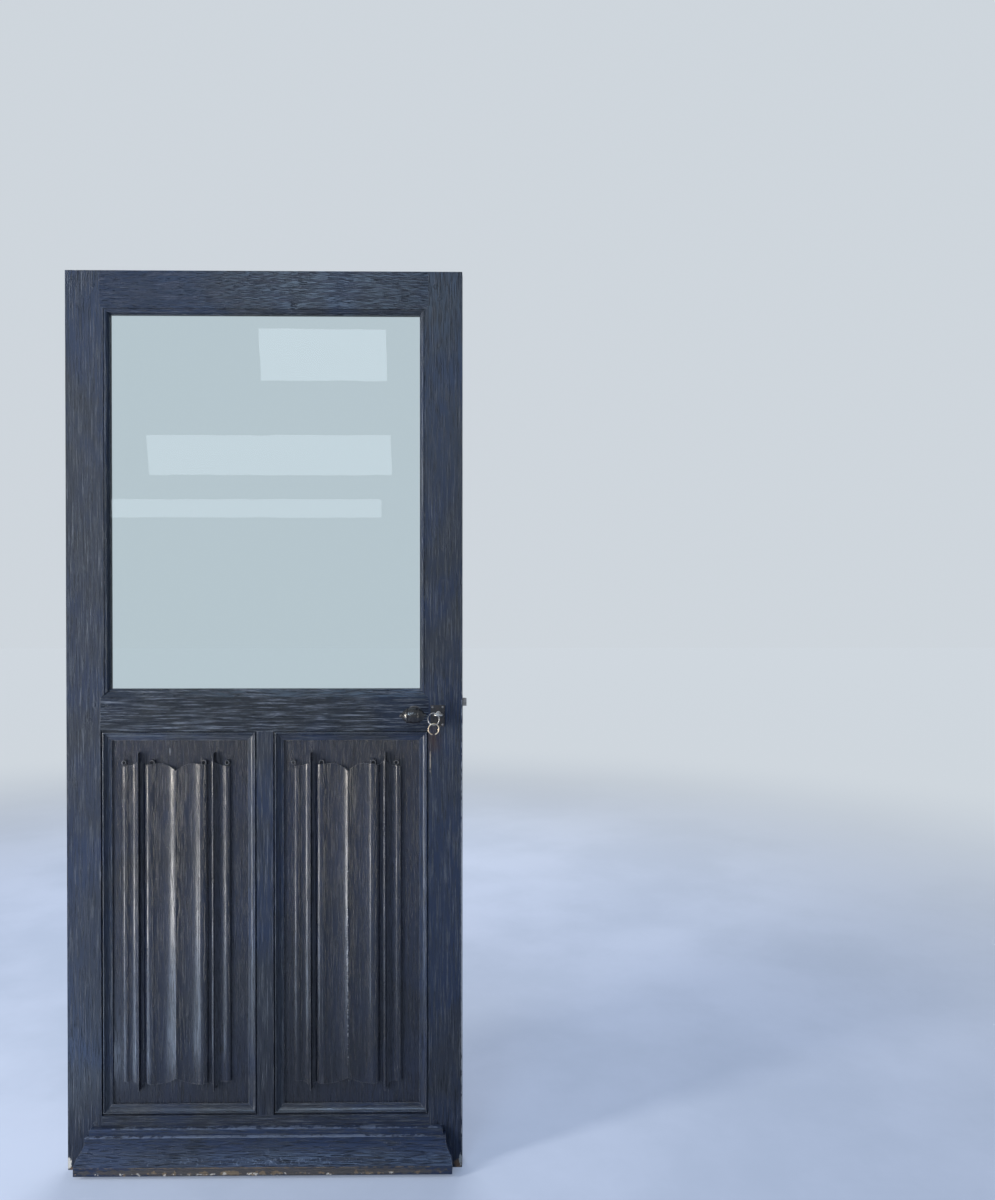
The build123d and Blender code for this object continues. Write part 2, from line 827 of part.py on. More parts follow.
# Hinge halves: a knuckle drilled blind from below, and a plate let into the stile's edge
for name, level in zip(hinge_names, hinge_levels):
    bore_radius = pin_radius + pin_clearance
    bore_end = level + bore_depth
    drill_tip = bore_end + bore_radius / tan(radians(drill_point_half_angle))
    knuckle_head = level + knuckle_height
    with BuildPart() as hinge:
        with BuildSketch(Plane.XZ):
            with BuildLine():
                Polyline(
                    (0, drill_tip),
                    (bore_radius, bore_end),
                    (bore_radius, level),
                    (knuckle_radius, level),
                    (knuckle_radius, knuckle_head),
                    (finial_neck_radius, knuckle_head),
                    (finial_neck_radius, knuckle_head + finial_height),
                    (0, knuckle_head + finial_height),
                    close=True,
                )
            make_face()
        revolve(axis=Axis.Z)
        with Locations((0, 0, knuckle_head + finial_height)):
            Sphere(finial_radius)
        plate_end = -knuckle_radius + hinge_plate_overlap / 2
        plate_start = inside_face - hinge_plate_width
        with Locations((leaf_left, plate_start, level)):
            Box(hinge_plate_thickness, plate_end - plate_start, knuckle_height, align=Align.MIN)
        plate_holes = [(leaf_left, hinge_plate_middle, level + row) for row in hinge_screw_rows]
        screws(plate_holes, heads_at_hinges, hinge_screw_length, screw_clearance, Mode.SUBTRACT)
    finish(hinge.part, name)

with BuildPart() as hinge_screws:
    screws(hinge_screw_places, heads_at_hinges, hinge_screw_length)
finish(hinge_screws.part, "hinge_screws")


def case_plane(gap=0):
    """Upright plane at a gap behind the leaf's inside face, with X and Z as its own axes."""
    return front_plane(leaf_thickness + gap)


# Lock case: a box open towards the leaf, with screw posts, bolt mouths and holes for knob and key
case_middle = (case_left + leaf_right) / 2
latch_level = handle_level + bolt_offset
deadbolt_level = handle_level - bolt_offset
with BuildPart() as lock_case:
    with BuildSketch(case_plane()):
        with Locations((case_middle, handle_level)):
            RectangleRounded(case_length, case_height, case_corner)
    extrude(amount=-case_depth)
    fillet(lock_case.faces().sort_by(Axis.Y)[-1].edges(), radius=case_edge_round)
    with BuildSketch(case_plane()):
        with Locations((case_middle, handle_level)):
            Rectangle(case_length - 2 * case_wall, case_height - 2 * case_wall)
    extrude(amount=case_wall - case_depth, mode=Mode.SUBTRACT)
    with BuildSketch(case_plane()):
        with Locations(*post_places):
            Circle(post_radius)
    extrude(amount=case_wall - case_depth)
    for level in (latch_level, deadbolt_level):
        with Locations((leaf_right, inside_face + bolt_gap + bolt_thickness / 2, level)):
            mouth_width = bolt_thickness + 2 * bolt_clearance
            Box(4 * case_wall, mouth_width, bolt_height + 2 * bolt_clearance, mode=Mode.SUBTRACT)
    with BuildSketch(case_plane(case_depth - case_wall)):
        with Locations((knob_x, handle_level)):
            Circle(journal_radius + journal_clearance)
        with Locations((key_x, handle_level)):
            Circle(key_radius + key_clearance)
            with Locations((0, -key_slot_length / 2)):
                Rectangle(key_slot_width, key_slot_length)
    extrude(amount=-case_wall, mode=Mode.SUBTRACT)
    screws(case_screw_places, heads_inside, case_depth + case_screw_depth, screw_clearance, Mode.SUBTRACT)
finish(lock_case.part, "lock_case")

with BuildPart() as case_screws:
    screws(case_screw_places, heads_inside, case_depth + case_screw_depth)
finish(case_screws.part, "lock_case_screws")

# Spring latch: a bevelled head, a tail over the follower and a hook for the follower's arm
latch_nose = leaf_right + latch_projection
latch_heel = latch_nose - latch_length
latch_tail_foot = handle_level + latch_tail_level - latch_tail_height / 2
hook_face = knob_x - arm_width / 2 - arm_gap
with BuildPart() as latch_bolt:
    with BuildSketch(case_plane(bolt_gap)):
        with Locations((latch_nose - latch_length / 2, latch_level)):
            Rectangle(latch_length, bolt_height)
    extrude(amount=-bolt_thickness)
    nose_edge = latch_bolt.edges().filter_by(Axis.Z).group_by(Axis.X)[-1].sort_by(Axis.Y)[-1]
    chamfer(nose_edge, length=latch_projection - bolt_clearance, length2=bolt_thickness * latch_bevel)
    with BuildSketch(case_plane(tail_gap)):
        with BuildLine():
            Polyline(
                (hook_face - hook_length, handle_level + hook_foot),
                (hook_face, handle_level + hook_foot),
                (hook_face, latch_tail_foot),
                (latch_heel, latch_tail_foot),
                (latch_heel, latch_tail_foot + latch_tail_height),
                (hook_face - hook_length, latch_tail_foot + latch_tail_height),
                close=True,
            )
        make_face()
    extrude(amount=-tail_thickness)
finish(latch_bolt.part, "latch_bolt")

# Deadbolt: a square head and a tail with two talons, between which the key's bit sweeps
deadbolt_nose = leaf_right - deadbolt_setback
deadbolt_heel = deadbolt_nose - deadbolt_length
talon_left = key_x - talon_setback
talon_right = talon_left + talon_width
talon_head = handle_level - talon_drop
deadbolt_tail_head = handle_level + deadbolt_tail_level + deadbolt_tail_height / 2
deadbolt_tail_foot = deadbolt_tail_head - deadbolt_tail_height
with BuildPart() as dead_bolt:
    with BuildSketch(case_plane(bolt_gap)):
        with Locations((deadbolt_nose - deadbolt_length / 2, deadbolt_level)):
            Rectangle(deadbolt_length, bolt_height)
    extrude(amount=-bolt_thickness)
    with BuildSketch(case_plane(tail_gap)):
        with BuildLine():
            Polyline(
                (talon_left - talon_thickness, deadbolt_tail_foot),
                (talon_left - talon_thickness, talon_head),
                (talon_left, talon_head),
                (talon_left, deadbolt_tail_head),
                (talon_right, deadbolt_tail_head),
                (talon_right, talon_head),
                (talon_right + talon_thickness, talon_head),
                (talon_right + talon_thickness, deadbolt_tail_head),
                (deadbolt_heel, deadbolt_tail_head),
                (deadbolt_heel, deadbolt_tail_foot),
                close=True,
            )
        make_face()
    extrude(amount=-tail_thickness)
finish(dead_bolt.part, "dead_bolt")

# Follower with its arm, and the square spindle through the leaf
knob_axis = Axis((knob_x, 0, handle_level), (0, 1, 0))
hub_end = case_depth - case_wall - hub_end_gap
with BuildPart() as follower:
    with BuildSketch(case_plane(hub_end_gap)):
        with Locations((knob_x, handle_level)):
            Circle(hub_radius)
    extrude(amount=hub_end_gap - hub_end)
    with BuildSketch(case_plane(hub_end)):
        with Locations((knob_x, handle_level)):
            Circle(journal_radius)
    extrude(amount=hub_end - case_depth)
    with BuildSketch(case_plane(tail_gap)):
        with Locations((knob_x, handle_level + arm_length / 2)):
            Rectangle(arm_width, arm_length)
    extrude(amount=-tail_thickness)
    with BuildSketch(case_plane()):
        with Locations((knob_x, handle_level)):
            Rectangle(spindle_side + 2 * spindle_clearance, spindle_side + 2 * spindle_clearance)
    extrude(amount=-case_depth, mode=Mode.SUBTRACT)
finish(follower.part, "follower")

outer_root = outside_face - rose_thickness - rose_clearance
inner_root = inside_face + case_depth + rose_clearance
spindle_reach = socket_depth - socket_end_gap
with BuildPart() as spindle:
    with BuildSketch(Plane.XZ.offset(-outer_root + spindle_reach)):
        with Locations((knob_x, handle_level)):
            Rectangle(spindle_side, spindle_side)
    extrude(amount=outer_root - inner_root - 2 * spindle_reach)
    chamfer(spindle.faces().filter_by(Axis.Y).edges(), length=spindle_chamfer)
    for root, outward in [(outer_root, -1), (inner_root, 1)]:
        with Locations((knob_x, root + outward * knob_pin_place, handle_level)):
            Cylinder(knob_pin_radius + pin_clearance, 2 * spindle_side, mode=Mode.SUBTRACT)
finish(spindle.part, "spindle")

# Olive knobs: a waisted neck on the spindle and a long olive with raised bands and end buttons
olive_belly = olive_half_length - olive_button_length
band_radius = olive_radius * (1 - (olive_band_place / olive_belly) ** 2) ** 0.5
for name, root, outward in [("outer_knob", outer_root, -1), ("inner_knob", inner_root, 1)]:
    olive_y = root + outward * olive_reach
    neck_plane = Plane(origin=(knob_x, root, handle_level), x_dir=(1, 0, 0), z_dir=(0, 0, 1))
    neck_end = outward * 2 * neck_waist_place
    with BuildPart() as knob:
        with BuildSketch(neck_plane):
            with BuildLine():
                Line((0, 0), (neck_root_radius, 0))
                ThreePointArc(
                    (neck_root_radius, 0),
                    (neck_waist_radius, outward * neck_waist_place),
                    (neck_root_radius, neck_end),
                )
                Polyline((neck_root_radius, neck_end), (0, outward * olive_reach), (0, 0))
            make_face()
        revolve(axis=knob_axis)
        with BuildSketch(Plane(origin=(knob_x, olive_y, handle_level), x_dir=(1, 0, 0), z_dir=(0, 0, 1))):
            with BuildLine():
                EllipticalCenterArc((0, 0), olive_belly, olive_radius, 0, arc_size=degrees(pi))
                Line((-olive_belly, 0), (olive_belly, 0))
            make_face()
        revolve(axis=Axis((knob_x, olive_y, handle_level), (1, 0, 0)))
        with Locations((knob_x, olive_y, handle_level)):
            Cylinder(olive_button_radius, 2 * olive_half_length, rotation=(0, 90, 0))
            with Locations((-olive_band_place, 0, 0), (olive_band_place, 0, 0)):
                Torus(band_radius, olive_band_width / 2, rotation=(0, 90, 0))
        fillet(
            [knob.edges().filter_by(GeomType.CIRCLE).sort_by(Axis.X)[end] for end in (0, -1)],
            radius=olive_button_round,
        )
        with BuildSketch(Plane.XZ.offset(-root)):
            with Locations((knob_x, handle_level)):
                Rectangle(spindle_side + 2 * spindle_clearance, spindle_side + 2 * spindle_clearance)
        extrude(amount=-outward * socket_depth, mode=Mode.SUBTRACT)
        with Locations((knob_x, root + outward * knob_pin_place, handle_level)):
            Cylinder(knob_pin_radius + pin_clearance, 2 * neck_root_radius, mode=Mode.SUBTRACT)
    finish(knob.part, name)

with BuildPart() as knob_pins:
    for root, outward in [(outer_root, -1), (inner_root, 1)]:
        with Locations((knob_x, root + outward * knob_pin_place, handle_level)):
            Cylinder(knob_pin_radius, 2 * neck_waist_radius)
finish(knob_pins.part, "knob_pins")

with BuildPart() as rose:
    with BuildSketch(Plane(origin=(knob_x, outside_face, handle_level), x_dir=(1, 0, 0), z_dir=(0, 0, 1))):
        with BuildLine():
            Polyline(
                (rose_radius, 0),
                (rose_spigot_radius, 0),
                (rose_spigot_radius, rose_spigot_length),
                (spindle_hole_radius, rose_spigot_length),
                (spindle_hole_radius, -rose_thickness),
                (rose_spigot_radius, -rose_thickness),
            )
            RadiusArc((rose_spigot_radius, -rose_thickness), (rose_radius, 0), rose_bulge_radius)
        make_face()
    revolve(axis=knob_axis)
finish(rose.part, "knob_rose")

# Keyhole plate with four round-headed screws
with BuildPart() as key_plate:
    with BuildSketch(front_plane()):
        with Locations(plate_middle):
            RectangleRounded(plate_width, plate_height, plate_corner)
        with Locations(*plate_screw_points):
            Circle(plate_screw_radius + screw_clearance, mode=Mode.SUBTRACT)
        with Locations((key_x, handle_level)):
            Circle(key_radius + key_clearance, mode=Mode.SUBTRACT)
            with Locations((0, -key_slot_length / 2)):
                Rectangle(key_slot_width, key_slot_length, mode=Mode.SUBTRACT)
    extrude(amount=plate_thickness)
    chamfer(key_plate.faces().sort_by(Axis.Y)[0].outer_wire().edges(), length=plate_bevel)
finish(key_plate.part, "keyhole_plate")

with BuildPart() as plate_screws:
    with BuildSketch(front_plane(-plate_thickness)):
        with Locations(*plate_screw_points):
            Circle(plate_screw_head_radius)
    extrude(amount=plate_screw_head_height)
    fillet(plate_screws.edges().group_by(Axis.Y)[0], radius=plate_screw_head_round)
    with BuildSketch(front_plane(-plate_thickness)):
        with Locations(*plate_screw_points):
            Circle(plate_screw_radius)
    extrude(amount=-plate_screw_length)
finish(plate_screws.part, "keyhole_plate_screws")

# Key, turned a quarter so that its bow lies level and its bit points to the knob
bow_y = outside_face - bow_projection - bow_radius - bow_rim_radius
tip_depth = leaf_thickness + case_depth - key_tip_gap
with BuildPart() as key:
    with BuildSketch(front_plane(-bow_projection - bow_rim_overlap)):
        with Locations((key_x, handle_level)):
            Circle(key_radius)
    extrude(amount=-bow_projection - bow_rim_overlap - tip_depth)
    with BuildSketch(front_plane(-collar_projection)):
        with Locations((key_x, handle_level)):
            Circle(collar_radius)
    extrude(amount=collar_length)
    fillet(key.edges().filter_by(lambda edge: abs(edge.length - 2 * pi * collar_radius) < 0.01), collar_round)
    with Locations((key_x, bow_y, handle_level)):
        Torus(bow_radius, bow_rim_radius)
    with Locations((key_x - bit_length / 2, inside_face + bit_gap + bit_width / 2, handle_level)):
        Box(bit_length, bit_width, bit_thickness)
finish(key.part, "key")

# Key rings: the steel one round the bow's side, the brass one open at its foot and hung from the steel one
ring_x = key_x - bow_radius
steel_drop = steel_ring_radius - steel_ring_wire - bow_rim_radius - ring_slack
steel_centre = Vector(ring_x, bow_y, handle_level - steel_drop)
with BuildPart() as steel_ring:
    with Locations(Location(steel_centre, (0, 0, steel_ring_turn))):
        Torus(steel_ring_radius, steel_ring_wire, rotation=(90, 0, 0))
finish(steel_ring.part, "key_ring_steel")

brass_drop = steel_ring_radius + brass_ring_radius - steel_ring_wire - brass_ring_wire - link_slack
brass_centre = steel_centre - Vector(0, 0, brass_drop)
brass_normal = Vector(0, 1, 0).rotate(Axis.Z, brass_ring_turn)
brass_start = Vector(0, 0, -1).rotate(Axis((0, 0, 0), brass_normal), brass_ring_gap / 2)
with BuildPart() as brass_ring:
    wire_plane = Plane(
        origin=brass_centre + brass_start * brass_ring_radius,
        x_dir=brass_start,
        z_dir=brass_normal.cross(brass_start),
    )
    with BuildSketch(wire_plane):
        Circle(brass_ring_wire)
    revolve(axis=Axis(brass_centre, brass_normal), revolution_arc=360 - brass_ring_gap)
finish(brass_ring.part, "key_ring_brass")
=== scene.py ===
"""Looks of the half-glazed oak door leaf with carved linenfold panels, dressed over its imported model.

Metres. The Z axis is the hinge pins' axis, X runs across the leaf from the hinges to the lock, and Y runs
from the outside of the door to the inside.
"""

import logging
import math
from dataclasses import dataclass
from enum import Enum

import bmesh
import bpy
from mathutils import Euler, Matrix, Vector


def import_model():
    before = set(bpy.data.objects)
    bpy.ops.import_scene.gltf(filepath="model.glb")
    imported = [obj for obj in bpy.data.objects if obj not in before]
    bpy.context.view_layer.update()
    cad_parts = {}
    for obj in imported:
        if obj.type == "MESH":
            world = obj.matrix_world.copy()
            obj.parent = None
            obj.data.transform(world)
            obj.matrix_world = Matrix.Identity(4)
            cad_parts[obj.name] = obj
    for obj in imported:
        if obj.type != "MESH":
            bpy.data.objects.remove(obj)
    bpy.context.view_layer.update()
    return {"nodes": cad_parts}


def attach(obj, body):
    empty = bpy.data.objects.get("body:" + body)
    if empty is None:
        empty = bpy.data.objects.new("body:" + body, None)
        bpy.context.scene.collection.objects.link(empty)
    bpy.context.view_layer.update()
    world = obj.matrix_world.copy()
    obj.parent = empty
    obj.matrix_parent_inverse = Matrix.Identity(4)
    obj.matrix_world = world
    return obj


log = logging.getLogger("door")

Colour = tuple[float, float, float]
Place = tuple[float, float, float]
Span = tuple[float, float]
Socket = bpy.types.NodeSocket
Nodes = dict[str, bpy.types.Object]

# Places of the Mix node's sockets when it mixes colours
MIX_SHARE, MIX_FIRST, MIX_SECOND, MIX_RESULT = 0, 6, 7, 2

# Rays that the Bevel and Ambient Occlusion nodes send from each point
EDGE_SAMPLES = 4

# How far the noise moves the edge of a mark of raggedness 1, in half sizes, from its lowest to its highest
MARK_REACH = 4.0

# Refractive indices
PAINT_IOR, GLASS_IOR = 1.5, 1.45

# The cards of bright ground: their width, their height just above the floor, and their lean towards the door
CARD_WIDTH = 0.6
CARD_LEVEL = -0.232
CARD_LEAN = (0.0043, 0.0026)

# The high windows: their distance from the door, how far below its own height each aims, and their light
WINDOW_DISTANCE = 3.6
WINDOW_DROP = 0.9
WINDOW_LIGHT = (0.80, 0.92, 1.0)

# No light
BLACK: Colour = (0.0, 0.0, 0.0)

# Colours that show where the paint is gone, split or dirty, and a painted sky sheen
SPLIT: Colour = (0.002, 0.002, 0.003)
KNOT: Colour = (0.004, 0.004, 0.005)
WHITE_CHIP: Colour = (0.50, 0.50, 0.48)
PALE_CHIP: Colour = (0.42, 0.42, 0.43)
GREY_CHIP: Colour = (0.20, 0.21, 0.22)
BROWN_WOOD: Colour = (0.16, 0.10, 0.06)
RUBBED_EDGE: Colour = (0.20, 0.22, 0.26)
RING_STAIN: Colour = (0.032, 0.018, 0.015)
SCRATCH: Colour = (0.34, 0.30, 0.25)
GREY_NOSE: Colour = (0.060, 0.055, 0.055)
OCHRE_WOOD: Colour = (0.17, 0.13, 0.085)
PRIMER: Colour = (0.42, 0.41, 0.39)
# A painted sky sheen: the sky's reflection laid on as colour
PAINTED_SKY_SHEEN: Colour = (0.15, 0.19, 0.28)


class Run(Enum):
    """The way that the wood's grain runs, as the scale of each axis in the grain's own space."""

    UPRIGHT = (1.0, 1.0, 0.035)
    LEVEL = (0.04, 1.0, 1.0)
    LEVEL_SHORT = (0.055, 1.0, 1.0)


class Side(Enum):
    """The two panels, named by the edge of the leaf that each is nearer to."""

    HINGE = "hinge_side"
    LOCK = "lock_side"


def mix_colours(
    tree: bpy.types.NodeTree, share: float | Socket, first: Colour | Socket, second: Colour | Socket
) -> Socket:
    """Mix two colours in a node tree.

    Args:
        tree: The node tree.
        share: The share of the second colour.
        first: The first colour.
        second: The second colour.

    Returns:
        The mixed colour.
    """
    node = tree.nodes.new("ShaderNodeMix")
    node.data_type = "RGBA"
    for index, value in ((MIX_SHARE, share), (MIX_FIRST, first), (MIX_SECOND, second)):
        if isinstance(value, Socket):
            tree.links.new(value, node.inputs[index])
        else:
            node.inputs[index].default_value = (*value, 1.0) if isinstance(value, tuple) else value
    return node.outputs[MIX_RESULT]


def cast_or_seen(tree: bpy.types.NodeTree, cast: Colour, seen: Colour) -> Socket:
    """A light's colour that differs where it is seen, straight, in a reflection or through glass.

    Args:
        tree: The node tree.
        cast: The colour of the light that falls on things.
        seen: The colour that is seen.

    Returns:
        The colour.
    """
    path = tree.nodes.new("ShaderNodeLightPath")
    rays = path.outputs["Is Camera Ray"]
    for kind in ("Is Glossy Ray", "Is Transmission Ray"):
        either = tree.nodes.new("ShaderNodeMath")
        either.operation = "MAXIMUM"
        tree.links.new(rays, either.inputs[0])
        tree.links.new(path.outputs[kind], either.inputs[1])
        rays = either.outputs[0]
    return mix_colours(tree, rays, cast, seen)


def add_object(name: str, data: bpy.types.ID) -> bpy.types.Object:
    """Put a new object in the scene.

    Args:
        name: The object's name.
        data: Its mesh, camera or light.

    Returns:
        The object.
    """
    thing = bpy.data.objects.new(name, data)
    bpy.context.scene.collection.objects.link(thing)
    return thing


def add_mesh(name: str, mesh: bmesh.types.BMesh, material: bpy.types.Material) -> bpy.types.Object:
    """Put an edited mesh in the scene and free it.

    Args:
        name: The new object's name.
        mesh: The edited mesh.
        material: Its material.

    Returns:
        The object.
    """
    data = bpy.data.meshes.new(name)
    mesh.to_mesh(data)
    mesh.free()
    data.materials.append(material)
    return add_object(name, data)


class Sheet:
    """A material's node tree, with short ways to add and join nodes."""

    def __init__(self, name: str) -> None:
        """Start a material with one Principled shader.

        Args:
            name: The material's name.
        """
        self.material = bpy.data.materials.new(name)
        self.material.use_nodes = True
        self.tree = self.material.node_tree
        self.shader = self.tree.nodes["Principled BSDF"]

    def set(self, **values: float | Colour) -> None:
        """Set the shader's own sockets.

        Args:
            values: A value for each socket, named with underscores for spaces.
        """
        for name, value in values.items():
            socket = self.shader.inputs[name.replace("_", " ")]
            socket.default_value = (*value, 1.0) if isinstance(value, tuple) else value

    def add(self, kind: str, settings: dict | None = None, inputs: dict | None = None) -> bpy.types.Node:
        """Add a node.

        Args:
            kind: The node's type, without its ShaderNode prefix.
            settings: A value for each of its properties.
            inputs: A value or another node's output for each of its inputs.

        Returns:
            The new node.
        """
        node = self.tree.nodes.new("ShaderNode" + kind)
        for name, value in (settings or {}).items():
            setattr(node, name, value)
        for name, value in (inputs or {}).items():
            if isinstance(value, Socket):
                self.tree.links.new(value, node.inputs[name])
            else:
                node.inputs[name].default_value = value
        return node

    def coordinates(self, scale: Place = (1.0, 1.0, 1.0)) -> Socket:
        """Object coordinates, scaled.

        Args:
            scale: The scale along each axis.

        Returns:
            The scaled coordinates.
        """
        plain = self.add("TexCoord").outputs["Object"]
        return self.add("Mapping", inputs={"Vector": plain, "Scale": scale}).outputs["Vector"]

    def noise(
        self, space: Socket, scale: float, detail: float, roughness: float = 0.6, distortion: float = 0.0
    ) -> Socket:
        """Noise in a space.

        Args:
            space: The coordinates that it reads.
            scale: The number of its cells along a metre.
            detail: The number of its octaves.
            roughness: The strength of its small octaves.
            distortion: How far it is bent.

        Returns:
            Its value, from 0 to 1.
        """
        inputs = {"Vector": space, "Scale": scale, "Detail": detail, "Roughness": roughness}
        return self.add("TexNoise", inputs={**inputs, "Distortion": distortion}).outputs["Fac"]

    def ramp(self, value: Socket, start: float, end: float, low: float = 0.0, high: float = 1.0) -> Socket:
        """A smooth step from one level to another.

        Args:
            value: What the step reads.
            start: Where it starts.
            end: Where it ends, before the start for a falling step.
            low: The level at its start.
            high: The level at its end.

        Returns:
            The stepped value.
        """
        inputs = {"Value": value, "From Min": start, "From Max": end, "To Min": low, "To Max": high}
        node = self.add("MapRange", {"interpolation_type": "SMOOTHSTEP"}, inputs)
        return node.outputs["Result"]

    def math(self, operation: str, *values: float | Socket) -> Socket:
        """A Math node's result.

        Args:
            operation: The node's operation.
            values: Its inputs, in order.

        Returns:
            The result.
        """
        return self.add("Math", {"operation": operation}, dict(enumerate(values))).outputs["Value"]

    def product(self, first: float | Socket, second: float | Socket) -> Socket:
        """Two values multiplied."""
        return self.math("MULTIPLY", first, second)

    def mix(self, share: float | Socket, first: Colour | Socket, second: Colour | Socket) -> Socket:
        """Two colours mixed, where share is the share of the second."""
        return mix_colours(self.tree, share, first, second)

    def axis(self, name: str) -> Socket:
        """One of the Object coordinates.

        Args:
            name: X, Y or Z.

        Returns:
            The coordinate, in metres.
        """
        plain = self.add("TexCoord").outputs["Object"]
        return self.add("SeparateXYZ", inputs={"Vector": plain}).outputs[name]

    def length(self, vector: Socket) -> Socket:
        """A vector's length."""
        return self.add("VectorMath", {"operation": "LENGTH"}, {0: vector}).outputs["Value"]

    def edges(self, radius: float, full: float = 0.35, start: float = 0.1) -> Socket:
        """A mask of the sharp edges.

        Args:
            radius: The width of the mask on either side of an edge.
            full: How far the rounded normal leaves the true one where the mask is full.
            start: The share of that at which the mask starts.

        Returns:
            The mask, from 0 to 1.
        """
        rounded = self.add("Bevel", {"samples": EDGE_SAMPLES}, {"Radius": radius}).outputs["Normal"]
        true = self.add("NewGeometry").outputs["True Normal"]
        likeness = self.add("VectorMath", {"operation": "DOT_PRODUCT"}, {0: rounded, 1: true})
        return self.ramp(likeness.outputs["Value"], 1.0 - full * start, 1.0 - full)

    def openness(self, distance: float) -> Socket:
        """How open a place is, from 0 deep in a corner to 1 on a flat face or a ridge.

        Args:
            distance: How far the corner's walls may be.

        Returns:
            The openness.
        """
        return self.add("AmbientOcclusion", {"samples": EDGE_SAMPLES}, {"Distance": distance}).outputs["AO"]

    def join(self, name: str, value: Socket) -> None:
        """Join a value to the shader's socket of that name."""
        self.tree.links.new(value, self.shader.inputs[name])

    def bump(self, height: Socket, strength: float, distance: float) -> None:
        """Give the shader a bumped normal.

        Args:
            height: The height, from 0 to 1.
            strength: The strength of the effect.
            distance: The height of 1, in metres.
        """
        inputs = {"Height": height, "Strength": strength, "Distance": distance}
        self.join("Normal", self.add("Bump", inputs=inputs).outputs["Normal"])


@dataclass(frozen=True)
class Mark:
    """An egg-shaped patch where the paint is worn, split, stained or has chips, or where a sheen or highlight
    is painted on.

    Args:
        place: Its middle.
        size: Its half size along each axis.
        colour: Its colour.
        strength: The share of that colour at its middle.
        ragged: How far its edge wanders, 0 for a smooth one.
        scale: The number of the edge's wiggles along a metre.
        cover: The level of the noise under which a ragged patch is full, lower for fewer flecks.
        soft: The width of its fading edge, as a share of its size.
    """

    place: Place
    size: Place
    colour: Colour
    strength: float = 0.8
    ragged: float = 0.5
    scale: float = 240.0
    cover: float = 0.5
    soft: float = 0.25

    def mask(self, sheet: Sheet) -> Socket:
        """Where the mark shows.

        Args:
            sheet: The material's node tree.

        Returns:
            The mask, from 0 to the mark's strength.
        """
        scale = tuple(1.0 / length for length in self.size)
        shift = tuple(-middle * step for middle, step in zip(self.place, scale))
        plain = sheet.add("TexCoord").outputs["Object"]
        mapping = sheet.add("Mapping", inputs={"Vector": plain, "Scale": scale, "Location": shift})
        wiggles = sheet.noise(plain, self.scale, detail=4.0, roughness=0.65)
        reach = MARK_REACH * self.ragged
        rough = sheet.math("MULTIPLY_ADD", wiggles, reach, -reach * self.cover)
        away = sheet.math("ADD", sheet.length(mapping.outputs["Vector"]), rough)
        inside = sheet.ramp(away, 1.0, 1.0 - self.soft)
        return sheet.product(inside, self.strength)


